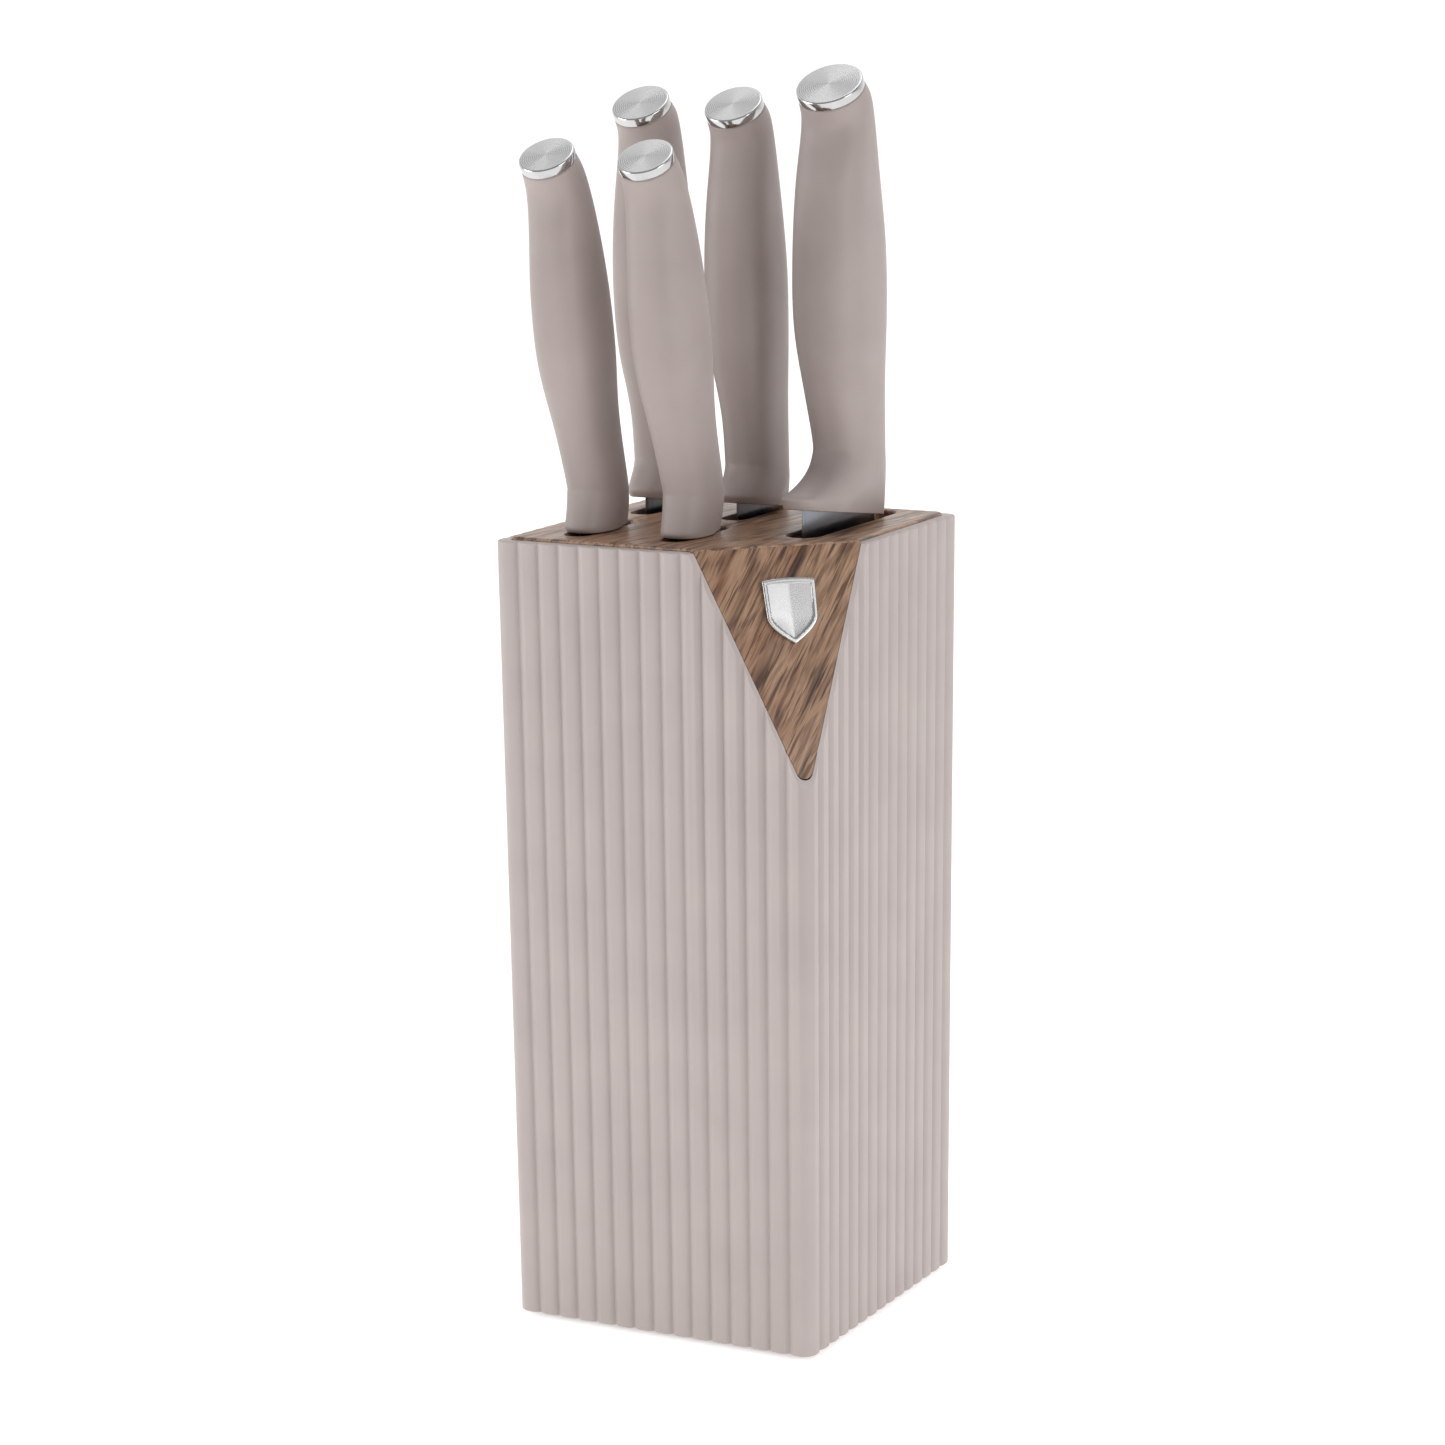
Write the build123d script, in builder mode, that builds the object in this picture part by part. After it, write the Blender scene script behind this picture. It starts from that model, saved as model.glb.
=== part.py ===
from build123d import *
import math
import os
from dataclasses import dataclass

# Knife block with five knives. Units are millimetres, +Z is up.
# The origin is the middle of the block's footprint on the worktop.
# Each knife hangs in its slot with its blade in a plane parallel to YZ, cutting edge towards -Y.

# ---- Block casing ----
top_width = 105.0  # outside width across the rib crests at the rim
shell_height = 241.0  # from the lower edge of the casing to its rim
draft = 0.43  # moulding draft of the casing in degrees a side
corner_radius = 4.0  # vertical corners of the casing
wall = 3.5  # casing wall, measured from the rib crests
rib_count = 15  # ribs on each face
end_rib_width = 7.9  # first and last rib of a face, up to the corner
rib_depth = 1.1  # crest to groove

# ---- Sloping cut on the front right corner ----
cut_run = 39.0  # length of the cut along each top edge
cut_drop = 74.0  # depth of the cut down the corner
cut_border = 1.8  # casing left showing round the wood panel
backing = 2.4  # casing wall behind the wood panel

# ---- Wood finished top ----
slab_thickness = 9.0
slab_proud = 1.0  # stands above the rim
panel_thickness = 4.0
insert_clearance = 0.15
panel_tip_radius = 2.5
slab_corner_radius = 2.5
slab_edge_radius = 0.8
slot_edge_radius = 0.8
ledge_width = 2.0
ledge_thickness = 3.0

# ---- Screws that hold the wood top ----
screw_wall_clearance = 0.6  # screw head to the casing's inner wall
top_boss_radius = 4.4
top_boss_length = 9.0
top_screw_radius = 1.5
top_screw_head_radius = 2.9
top_screw_head_height = 2.0
top_screw_bite = 5.0  # length in the wood top

# ---- Base ----
foot_drop = 1.5  # gap under the casing
base_thickness = 3.0
base_clearance = 0.3
post_radius = 6.0
post_length = 20.0  # the sleeve tray stands on the posts
post_inset = 9.5  # post centres in from the outside of the rim
base_screw_radius = 1.6
base_screw_head_radius = 3.2
base_screw_head_height = 1.6
base_screw_bite = 12.0
foot_radius = 7.0
foot_inset = 24.0  # foot centres in from the outside of the rim
foot_seat_depth = 1.2
foot_chamfer = 0.5

# ---- Sleeves that guide the blades ----
sleeve_wall = 1.4
sleeve_seat = 3.0  # length held in the wood top
tray_thickness = 4.0
tray_seat = 2.0  # length of a sleeve held in the tray
tray_clearance = 1.0  # tray to casing wall

# ---- Badge ----
badge_width = 16.5
badge_height = 20.0
badge_thickness = 1.6
badge_rim_width = 1.1
badge_rim_height = 0.5
badge_shoulder = 0.12  # straight sides end this share of the height below its middle
badge_cheek = (0.66, 0.68)  # middle of each lower arc, as shares of the half width and half height
badge_slope_distance = 19.1  # badge centre below the middle of the facet's top edge
badge_shift = 1.5  # towards the right end of the facet's top edge
stud_radius = 1.0
stud_spacing = 9.0
nut_radius = 3.0
nut_thickness = 0.8
stud_past_nut = 1.0

# ---- Knives ----
seat_gap = 0.3  # grip to wood top while the knife is home
cap_thickness = 3.0
cap_tilt = 33.0  # lean of the end cap towards the cutting side in degrees
cap_edge_radius = 0.5
spigot_radius = 4.0
spigot_length = 7.0
grip_skin = 2.4  # soft moulding over the hard core
tang_half_width = 5.0
flat_lean_up = 11.0  # the bolster flats open upwards, degrees
flat_lean_back = 5.0  # and towards the cutting side, degrees
corner_share = 0.82  # section corner radius as a share of its half thickness
end_corner_share = 0.98  # the same where the grip meets its round end cap
guard_height = 3.0  # depth of the guard's tip
guard_lip = 0.8  # grip past the blade's spine
blade_root = 2.0  # height of the blade's shoulder inside the grip
spine_straight = 0.8  # share of the blade's length over which its spine runs straight
tooth_start = 8.0  # plain edge above the first tooth
tooth_radius = 0.55  # scallop radius and its centre's distance outside the edge, as shares
tooth_offset = 0.3  # of the tooth pitch

rim_z = foot_drop + shell_height
top_boss_inset = wall + top_screw_head_radius + screw_wall_clearance  # in from the outside of the rim
slab_top = rim_z + slab_proud
slab_bottom = slab_top - slab_thickness
rib_pitch = (top_width - 2 * end_rib_width) / (rib_count - 2)
half_width = top_width / 2
bottom_width = top_width - 2 * shell_height * math.tan(math.radians(draft))


@dataclass
class Station:
    """One cross-section of a grip: height above the rim, offset along Y from the foot, half sizes."""

    height: float
    offset: float
    half_thickness: float
    half_width: float


@dataclass
class Grip:
    """The shape of a grip: its stations from the foot up, and the middle of its end cap's base."""

    stations: list
    cap_offset: float
    cap_height: float
    cap_radius: float
    foot_slope: float  # lower end in degrees, higher on the cutting side
    guard_rise: float  # height above the rim at which the guard leaves the grip
    guard_slope: float  # direction of the guard's upper side at its tip, degrees below level
    flat_half_thickness: float  # half the bolster's thickness where it meets the wood top


@dataclass
class Knife:
    """One knife and the slot that it stands in."""

    name: str
    grip: Grip
    x: float
    foot_y: float
    slot_width: float
    slot_front: float
    slot_back: float
    heel_y: float
    spine_y: float
    blade_length: float
    blade_thickness: float
    belly: float  # share of the length over which the cutting edge runs straight
    tip_drop: float  # distance of the tip from the spine line
    guard_reach: float = 0.0  # how far the finger guard stands out past the heel
    teeth: int = 0


small_grip = Grip(
    stations=[
        Station(0.0, -0.4, 6.6, 13.6),
        Station(14.0, -0.2, 7.2, 11.5),
        Station(34.0, -6.1, 7.8, 11.6),
        Station(54.0, -11.5, 9.7, 13.5),
        Station(74.0, -15.1, 9.7, 13.3),
        Station(94.0, -18.5, 8.6, 11.0),
    ],
    cap_offset=-25.9,
    cap_height=112.1,
    cap_radius=8.4,
    foot_slope=0.0,
    guard_rise=16.0,
    guard_slope=60.0,
    flat_half_thickness=5.6,
)
large_grip = Grip(
    stations=[
        Station(0.0, -0.6, 7.4, 15.0),
        Station(14.0, 0.6, 8.1, 12.4),
        Station(34.0, -0.7, 8.4, 12.8),
        Station(54.0, -4.3, 10.5, 13.7),
        Station(76.0, -5.8, 11.0, 13.8),
        Station(100.0, -6.9, 9.8, 12.0),
    ],
    cap_offset=-11.6,
    cap_height=124.1,
    cap_radius=9.0,
    foot_slope=8.5,
    guard_rise=20.0,
    guard_slope=65.0,
    flat_half_thickness=5.8,
)
chef_grip = Grip(
    stations=[
        Station(0.0, 0.6, 8.4, 14.5),
        Station(20.0, -0.6, 9.2, 12.8),
        Station(42.0, -3.9, 10.3, 14.4),
        Station(62.0, -6.8, 12.1, 16.0),
        Station(84.0, -7.2, 12.1, 16.0),
        Station(106.0, -8.0, 11.0, 13.9),
    ],
    cap_offset=-11.9,
    cap_height=130.6,
    cap_radius=10.2,
    foot_slope=8.5,
    guard_rise=27.0,
    guard_slope=12.0,
    flat_half_thickness=6.4,
)

knives = [
    Knife("chef", chef_grip, 31.0, 20.5, 10.6, -17.0, 45.0, -13.0, 34.5, 200.0, 2.4, 0.35, 4.0, 5.0),
    Knife("bread", large_grip, -3.8, 25.5, 7.4, 7.0, 45.0, 12.0, 39.0, 198.0, 2.0, 0.85, 6.0, 3.5, 24),
    Knife("slicer", large_grip, -35.6, 25.5, 7.4, 7.0, 45.0, 12.0, 39.0, 200.0, 2.0, 0.6, 4.0, 3.5),
    Knife("utility", small_grip, -31.9, -24.3, 7.4, -40.5, -5.0, -36.0, -12.5, 130.0, 1.8, 0.5, 4.0, 2.5),
    Knife("paring", small_grip, 0.0, -22.9, 7.4, -39.0, -5.0, -33.5, -12.5, 90.0, 1.6, 0.4, 3.0, 3.5),
]

# ---- Planes shared by several pieces ----
cut_left = Vector(half_width - cut_run, -half_width, rim_z)
cut_right = Vector(half_width, -half_width + cut_run, rim_z)
cut_low = Vector(half_width, -half_width, rim_z - cut_drop)
cut_middle = (cut_left + cut_right) / 2
facet_along = (cut_right - cut_left).normalized()
facet_normal = (cut_low - cut_left).cross(cut_right - cut_left).normalized()
facet_plane = Plane(origin=cut_middle, x_dir=facet_along, z_dir=facet_normal)
facet_slope_length = (cut_low - cut_middle).length
badge_centre = (badge_shift, -badge_slope_distance, 0)
badge_plane = Plane(facet_plane.from_local_coords(badge_centre), facet_along, facet_normal)
badge_stud_length = panel_thickness + insert_clearance + backing + nut_thickness + stud_past_nut
corner_signs = [(-1, -1), (1, -1), (-1, 1), (1, 1)]


def corner_spots(inset, skip_cut_corner=False):
    """Points in from the four outside corners of the rim, the cut corner left out if asked."""
    reach = half_width - inset
    signs = [s for s in corner_signs if not (skip_cut_corner and s == (1, -1))]
    return [(sx * reach, sy * reach) for sx, sy in signs]


def turned(point, quarter):
    """Point of the front face carried round to the face that lies a number of quarter turns on."""
    return Vector(*point).rotate(Axis.Z, 90 * quarter)


def ribbed_face(z, width):
    """Face of the casing's outside at one height: an arc for each rib and for each corner."""
    k = width / top_width
    crest = half_width * k
    groove = crest - rib_depth
    straight = crest - corner_radius * k
    grooves = [(end_rib_width + i * rib_pitch - half_width) * k for i in range(rib_count - 1)]
    with BuildSketch(Plane.XY.offset(z)) as face:
        with BuildLine():
            for quarter in range(4):
                start, end = turned((-straight, -crest), quarter), turned((grooves[0], -groove), quarter)
                TangentArc(start, end, tangent=turned((1, 0), quarter))
                for left, right in zip(grooves, grooves[1:]):
                    crown = ((left + right) / 2, -crest)
                    arc = [(left, -groove), crown, (right, -groove)]
                    ThreePointArc(*[turned(point, quarter) for point in arc])
                start, end = turned((straight, -crest), quarter), turned((grooves[-1], -groove), quarter)
                TangentArc(start, end, tangent=turned((-1, 0), quarter))
                bend = crest - corner_radius * k * (1 - math.sqrt(0.5))
                corner = [(straight, -crest), (bend, -bend), (crest, -straight)]
                ThreePointArc(*[turned(point, quarter) for point in corner])
        make_face()
    return face.sketch


def panel_outline(border):
    """Triangle of the cut facet, in from its edges by the border, its low corner rounded."""
    half_top = (cut_right - cut_left).length / 2
    lean = math.atan2(facet_slope_length, half_top)
    low = -facet_slope_length + border / math.cos(lean)
    half_above = (slab_thickness - low) / math.tan(lean)
    with BuildSketch(mode=Mode.PRIVATE) as triangle:
        with BuildLine():
            Polyline((0, low), (half_above, slab_thickness), (-half_above, slab_thickness), close=True)
        make_face()
        fillet(triangle.vertices().sort_by(Axis.Y)[0], panel_tip_radius)
    return triangle.sketch


def badge_outline(margin=0.0):
    """Plain shield: flat top, straight sides, two arcs that meet at a low point."""
    side = badge_width / 2 - margin
    top = badge_height / 2 - margin
    shoulder = -badge_height * badge_shoulder
    low = -badge_height / 2 + margin
    cheek = (side * badge_cheek[0], low * badge_cheek[1])
    with BuildSketch(mode=Mode.PRIVATE) as shield:
        with BuildLine():
            Polyline((-side, shoulder), (-side, top), (side, top), (side, shoulder))
            ThreePointArc((side, shoulder), cheek, (0, low))
            ThreePointArc((0, low), (-cheek[0], cheek[1]), (-side, shoulder))
        make_face()
    return shield.sketch


def wood_body(clearance):
    """Top slab and sloping panel in one piece, grown by the clearance."""
    slab_width = top_width - 2 * wall + 2 * clearance
    with BuildPart() as body:
        with BuildSketch(Plane.XY.offset(slab_bottom - clearance)):
            RectangleRounded(slab_width, slab_width, slab_corner_radius)
        extrude(amount=slab_thickness + clearance)
        with BuildSketch(facet_plane.offset(-panel_thickness - clearance)):
            add(panel_outline(cut_border - clearance))
        extrude(amount=panel_thickness + clearance)
        split(bisect_by=facet_plane, keep=Keep.BOTTOM)
        split(bisect_by=Plane.XY.offset(slab_top), keep=Keep.BOTTOM)
    return body.part


def slot_outline(knife, grow=0.0):
    """Outline of a knife's slot, round at both ends, grown all round."""
    length = knife.slot_back - knife.slot_front
    with BuildSketch(mode=Mode.PRIVATE) as slot:
        with Locations((knife.x, (knife.slot_front + knife.slot_back) / 2)):
            SlotOverall(length + 2 * grow, knife.slot_width + 2 * grow, rotation=90)
    return slot.sketch


def middle_of_station(knife, index):
    """Middle of a station, or of the end cap's base after the last station."""
    grip = knife.grip
    if index < len(grip.stations):
        station = grip.stations[index]
        return Vector(knife.x, knife.foot_y + station.offset, rim_z + station.height)
    return Vector(knife.x, knife.foot_y + grip.cap_offset, rim_z + grip.cap_height)


def cross_plane(origin, lean):
    """Plane across a grip, leaning towards the cutting side by an angle in degrees."""
    angle = math.radians(lean)
    return Plane(origin=origin, x_dir=(1, 0, 0), z_dir=(0, -math.sin(angle), math.cos(angle)))


def cap_plane(knife):
    """Plane of the end cap's base."""
    return cross_plane(middle_of_station(knife, len(knife.grip.stations)), cap_tilt)


def grip_loft(knife, first, skin=0.0):
    """Grip body from one of its stations to the end cap, inside the outer surface by the skin."""
    stations = knife.grip.stations
    with BuildPart() as body:
        for index in range(first, len(stations)):
            station = stations[index]
            below = middle_of_station(knife, max(index - 1, 0))
            run = middle_of_station(knife, index + 1) - below
            lean = math.degrees(math.atan2(-run.Y, run.Z)) if index else 0.0
            wide, deep = station.half_thickness - skin, station.half_width - skin
            with BuildSketch(cross_plane(middle_of_station(knife, index), lean)):
                RectangleRounded(2 * wide, 2 * deep, corner_share * wide)
        radius = knife.grip.cap_radius - skin
        with BuildSketch(cap_plane(knife)):
            RectangleRounded(2 * radius, 2 * radius, end_corner_share * radius)
        loft()
    return body.part


def foot_height(knife, y):
    """Height of a grip's sloping lower end at a place along Y."""
    slope = math.tan(math.radians(knife.grip.foot_slope))
    return slab_top + seat_gap + (knife.spine_y + guard_lip - y) * slope


def guard_lug(knife):
    """Heel of the bolster that stands out past the blade on its cutting side."""
    tip = (knife.heel_y - knife.guard_reach, foot_height(knife, knife.heel_y) + guard_height)
    rise, second = rim_z + knife.grip.guard_rise, knife.grip.stations[1]
    neck = (knife.foot_y + second.offset - second.half_width + guard_lip, rise)
    middle = knife.foot_y + second.offset
    slope = math.radians(knife.grip.guard_slope)
    with BuildPart() as lug:
        with BuildSketch(Plane.YZ.offset(knife.x)):
            with BuildLine():
                Polyline(neck, (middle, rise), (middle, slab_top), (tip[0], slab_top), tip)
                Spline(neck, tip, tangents=[(0, -1), (-math.cos(slope), -math.sin(slope))])
            make_face()
        extrude(amount=knife.grip.flat_half_thickness + guard_lip, both=True)
    return lug.part


def flat_plane(knife, side):
    """Plane of the flat on one side of the bolster; side is 1 for +X and -1 for -X."""
    up, back = math.tan(math.radians(flat_lean_up)), math.tan(math.radians(flat_lean_back))
    origin = (knife.x + side * knife.grip.flat_half_thickness, knife.spine_y, slab_top)
    return Plane(origin=origin, z_dir=(side, back, -up))


def make_blade(knife):
    """Blade and tang, cut from one sheet."""
    heel, spine = knife.heel_y, knife.spine_y
    tip = Vector(spine - knife.tip_drop, slab_top - knife.blade_length)
    edge_end = slab_top - knife.belly * knife.blade_length
    root = [(y, foot_height(knife, y) + blade_root) for y in (heel, spine)]
    middles = [middle_of_station(knife, i) for i in range(1, len(knife.grip.stations))]
    front = [(m.Y - tang_half_width, m.Z) for m in middles]
    back = [(m.Y + tang_half_width, m.Z) for m in reversed(middles)]
    front.insert(0, (front[0][0], foot_height(knife, front[0][0]) + blade_root))
    back.append((back[-1][0], foot_height(knife, back[-1][0]) + blade_root))
    spine_bend = slab_top - spine_straight * knife.blade_length
    with BuildPart() as blade:
        with BuildSketch(Plane.YZ.offset(knife.x)):
            with BuildLine():
                Polyline((heel, edge_end), root[0], *front, *back, root[1], (spine, spine_bend))
                TangentArc((spine, spine_bend), (tip.X, tip.Y), tangent=(0, -1))
                TangentArc((heel, edge_end), (tip.X, tip.Y), tangent=(0, -1))
            make_face()
            if knife.teeth:
                pitch = (knife.belly * knife.blade_length - tooth_start) / knife.teeth
                centres = [
                    (heel - tooth_offset * pitch, slab_top - tooth_start - (i + 0.5) * pitch)
                    for i in range(knife.teeth)
                ]
                with Locations(*centres):
                    Circle(tooth_radius * pitch, mode=Mode.SUBTRACT)
        extrude(amount=knife.blade_thickness / 2, both=True)
    return blade


def make_end_cap(knife):
    """Steel disc with the spigot that holds it in the core."""
    radius = knife.grip.cap_radius
    with BuildPart() as end_cap:
        with BuildSketch(cap_plane(knife)):
            Circle(radius)
        extrude(amount=cap_thickness)
        rims = end_cap.edges().filter_by(GeomType.CIRCLE).sort_by(lambda e: e.center().Z)
        fillet(rims[-1], cap_edge_radius)
        with BuildSketch(cap_plane(knife)):
            Circle(spigot_radius)
        extrude(amount=-spigot_length)
    return end_cap


def make_core(knife, blade, end_cap):
    """Hard core moulded round the tang, bored for the end cap's spigot."""
    with BuildPart() as core:
        add(grip_loft(knife, 1, grip_skin))
        add(blade.part, mode=Mode.SUBTRACT)
        add(end_cap.part, mode=Mode.SUBTRACT)
    return core


def make_grip(knife, blade):
    """Soft outer moulding with its sloping foot, flat bolster sides and guard."""
    foot = Plane(
        origin=(knife.x, knife.spine_y, foot_height(knife, knife.spine_y)),
        z_dir=(0, math.tan(math.radians(knife.grip.foot_slope)), 1),
    )
    with BuildPart() as grip:
        add(grip_loft(knife, 0))
        add(guard_lug(knife))
        for side in (1, -1):
            split(bisect_by=flat_plane(knife, side), keep=Keep.BOTTOM)
        split(bisect_by=foot, keep=Keep.TOP)
        add(grip_loft(knife, 1, grip_skin), mode=Mode.SUBTRACT)
        add(blade.part, mode=Mode.SUBTRACT)
    return grip


def make_sleeve(knife):
    """Black guide for one blade, from the tray up into the wood top."""
    bottom = foot_drop + base_thickness + post_length + tray_thickness - tray_seat
    with BuildPart() as sleeve:
        with BuildSketch(Plane.XY.offset(bottom)):
            add(slot_outline(knife, sleeve_wall))
            add(slot_outline(knife), mode=Mode.SUBTRACT)
        extrude(amount=slab_bottom + sleeve_seat - bottom)
    return sleeve


def save(part, label):
    """Label a finished piece and write its file."""
    part.label = label
    export_step(part, f"parts/{label}.step")


os.makedirs("parts", exist_ok=True)

# ---- Casing ----
with BuildPart() as casing_block:
    for level, width in ((foot_drop, bottom_width), (rim_z, top_width)):
        add(ribbed_face(level, width))
    loft(ruled=True)
    split(bisect_by=facet_plane, keep=Keep.BOTTOM)

with BuildPart() as cavity:
    for level, width in ((foot_drop, bottom_width), (rim_z, top_width)):
        with BuildSketch(Plane.XY.offset(level)):
            RectangleRounded(width - 2 * wall, width - 2 * wall, slab_corner_radius)
    loft(ruled=True)
    split(bisect_by=facet_plane.offset(-panel_thickness - insert_clearance - backing), keep=Keep.BOTTOM)
    with BuildSketch(Plane.XY.offset(slab_bottom)):
        RectangleRounded(top_width, top_width, slab_corner_radius)
        opening = top_width - 2 * (wall + ledge_width)
        RectangleRounded(opening, opening, slab_corner_radius, mode=Mode.SUBTRACT)
    extrude(amount=-ledge_thickness, mode=Mode.SUBTRACT)
    with BuildSketch(Plane.XY.offset(slab_bottom)):
        with Locations(*corner_spots(top_boss_inset, skip_cut_corner=True)):
            Circle(top_boss_radius)
    extrude(amount=-ledge_thickness - top_boss_length, mode=Mode.SUBTRACT)
    with BuildSketch(Plane.XY.offset(foot_drop + base_thickness)):
        with Locations(*corner_spots(post_inset)):
            Circle(post_radius)
    extrude(amount=post_length, mode=Mode.SUBTRACT)

with BuildPart() as outer_shell:
    add(casing_block.part)
    add(cavity.part, mode=Mode.SUBTRACT)
    add(wood_body(insert_clearance), mode=Mode.SUBTRACT)
    with BuildSketch(Plane.XY.offset(slab_bottom)):
        with Locations(*corner_spots(top_boss_inset, skip_cut_corner=True)):
            Circle(top_screw_radius)
    extrude(amount=-ledge_thickness - top_boss_length, mode=Mode.SUBTRACT)
    with BuildSketch(Plane.XY.offset(foot_drop + base_thickness)):
        with Locations(*corner_spots(post_inset)):
            Circle(base_screw_radius)
    extrude(amount=base_screw_bite, mode=Mode.SUBTRACT)
    with BuildSketch(badge_plane):
        with Locations((0, stud_spacing / 2), (0, -stud_spacing / 2)):
            Circle(stud_radius)
    extrude(amount=-badge_stud_length, mode=Mode.SUBTRACT)
save(outer_shell.part, "outer_shell")

# ---- Wood finished top ----
with BuildPart() as wood_top:
    add(wood_body(0.0))
    top_edges = wood_top.faces().sort_by(Axis.Z)[-1].edges()
    fillet(top_edges, slab_edge_radius)
    with BuildSketch(Plane.XY.offset(slab_top)):
        for knife in knives:
            add(slot_outline(knife))
    extrude(amount=-slab_thickness, mode=Mode.SUBTRACT)
    rims = wood_top.faces().filter_by(Plane.XY).sort_by(Axis.Z)[-1].inner_wires().edges()
    fillet(rims, slot_edge_radius)
    with BuildSketch(Plane.XY.offset(slab_bottom)):
        for knife in knives:
            add(slot_outline(knife, sleeve_wall))
    extrude(amount=sleeve_seat, mode=Mode.SUBTRACT)
    with BuildSketch(Plane.XY.offset(slab_bottom)):
        with Locations(*corner_spots(top_boss_inset, skip_cut_corner=True)):
            Circle(top_screw_radius)
    extrude(amount=top_screw_bite, mode=Mode.SUBTRACT)
    with BuildSketch(badge_plane):
        with Locations((0, stud_spacing / 2), (0, -stud_spacing / 2)):
            Circle(stud_radius)
    extrude(amount=-badge_stud_length, mode=Mode.SUBTRACT)
save(wood_top.part, "wood_top")

# ---- Badge and its push nuts ----
with BuildPart() as badge:
    with BuildSketch(badge_plane):
        add(badge_outline())
    extrude(amount=badge_thickness)
    with BuildSketch(badge_plane.offset(badge_thickness)):
        add(badge_outline())
        add(badge_outline(badge_rim_width), mode=Mode.SUBTRACT)
    extrude(amount=badge_rim_height)
    with BuildSketch(badge_plane):
        with Locations((0, stud_spacing / 2), (0, -stud_spacing / 2)):
            Circle(stud_radius)
    extrude(amount=-badge_stud_length)
save(badge.part, "badge")

with BuildPart() as badge_push_nuts:
    with BuildSketch(badge_plane.offset(-panel_thickness - insert_clearance - backing)):
        with Locations((0, stud_spacing / 2), (0, -stud_spacing / 2)):
            Circle(nut_radius)
            Circle(stud_radius, mode=Mode.SUBTRACT)
    extrude(amount=-nut_thickness)
save(badge_push_nuts.part, "badge_push_nuts")

# ---- Base plate, its screws and the feet ----
base_width = bottom_width - 2 * wall - 2 * base_clearance
foot_spots = corner_spots(foot_inset) + [(0, 0)]
with BuildPart() as base_plate:
    with BuildSketch(Plane.XY.offset(foot_drop)):
        RectangleRounded(base_width, base_width, slab_corner_radius)
    extrude(amount=base_thickness)
    with Locations(Plane.XY.offset(foot_drop)):
        with Locations(*[Location((x, y, 0), (180, 0, 0)) for x, y in corner_spots(post_inset)]):
            CounterBoreHole(base_screw_radius, base_screw_head_radius, base_screw_head_height)
    with BuildSketch(Plane.XY.offset(foot_drop)):
        with Locations(*foot_spots):
            Circle(foot_radius)
    extrude(amount=foot_seat_depth, mode=Mode.SUBTRACT)
save(base_plate.part, "base_plate")

with BuildPart() as base_screws:
    with BuildSketch(Plane.XY.offset(foot_drop)):
        with Locations(*corner_spots(post_inset)):
            Circle(base_screw_head_radius)
    extrude(amount=base_screw_head_height)
    with BuildSketch(Plane.XY.offset(foot_drop)):
        with Locations(*corner_spots(post_inset)):
            Circle(base_screw_radius)
    extrude(amount=base_thickness + base_screw_bite)
save(base_screws.part, "base_screws")

with BuildPart() as top_screws:
    screw_foot = slab_bottom - ledge_thickness - top_boss_length
    with BuildSketch(Plane.XY.offset(screw_foot)):
        with Locations(*corner_spots(top_boss_inset, skip_cut_corner=True)):
            Circle(top_screw_head_radius)
    extrude(amount=-top_screw_head_height)
    with BuildSketch(Plane.XY.offset(screw_foot)):
        with Locations(*corner_spots(top_boss_inset, skip_cut_corner=True)):
            Circle(top_screw_radius)
    extrude(amount=slab_bottom + top_screw_bite - screw_foot)
save(top_screws.part, "top_screws")

foot_names = ["foot_front_left", "foot_front_right", "foot_back_left", "foot_back_right", "foot_middle"]
for foot_name, spot in zip(foot_names, foot_spots):
    with BuildPart() as foot:
        with BuildSketch():
            with Locations(spot):
                Circle(foot_radius)
        extrude(amount=foot_drop + foot_seat_depth)
        chamfer(foot.edges().sort_by(Axis.Z)[0], foot_chamfer)
    save(foot.part, foot_name)

# ---- Tray that holds the lower ends of the sleeves ----
with BuildPart() as sleeve_tray:
    tray_width = bottom_width - 2 * wall - 2 * tray_clearance
    tray_bottom = foot_drop + base_thickness + post_length
    with BuildSketch(Plane.XY.offset(tray_bottom)):
        RectangleRounded(tray_width, tray_width, slab_corner_radius)
    extrude(amount=tray_thickness)
    with BuildSketch(Plane.XY.offset(tray_bottom + tray_thickness)):
        for knife in knives:
            add(slot_outline(knife, sleeve_wall))
    extrude(amount=-tray_seat, mode=Mode.SUBTRACT)
save(sleeve_tray.part, "sleeve_tray")

# ---- Knives and their sleeves ----
for knife in knives:
    save(make_sleeve(knife).part, f"{knife.name}_sleeve")
    blade = make_blade(knife)
    end_cap = make_end_cap(knife)
    core = make_core(knife, blade, end_cap)
    grip = make_grip(knife, blade)
    save(blade.part, f"{knife.name}_blade")
    save(end_cap.part, f"{knife.name}_end_cap")
    save(core.part, f"{knife.name}_core")
    save(grip.part, f"{knife.name}_grip")
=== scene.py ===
"""Knife block with five knives: the finished pieces, their materials, the studio and the camera."""

import logging
import math
from dataclasses import dataclass, field
from enum import Enum
from typing import Sequence

import bmesh
import bpy
from mathutils import Matrix, Vector


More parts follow.
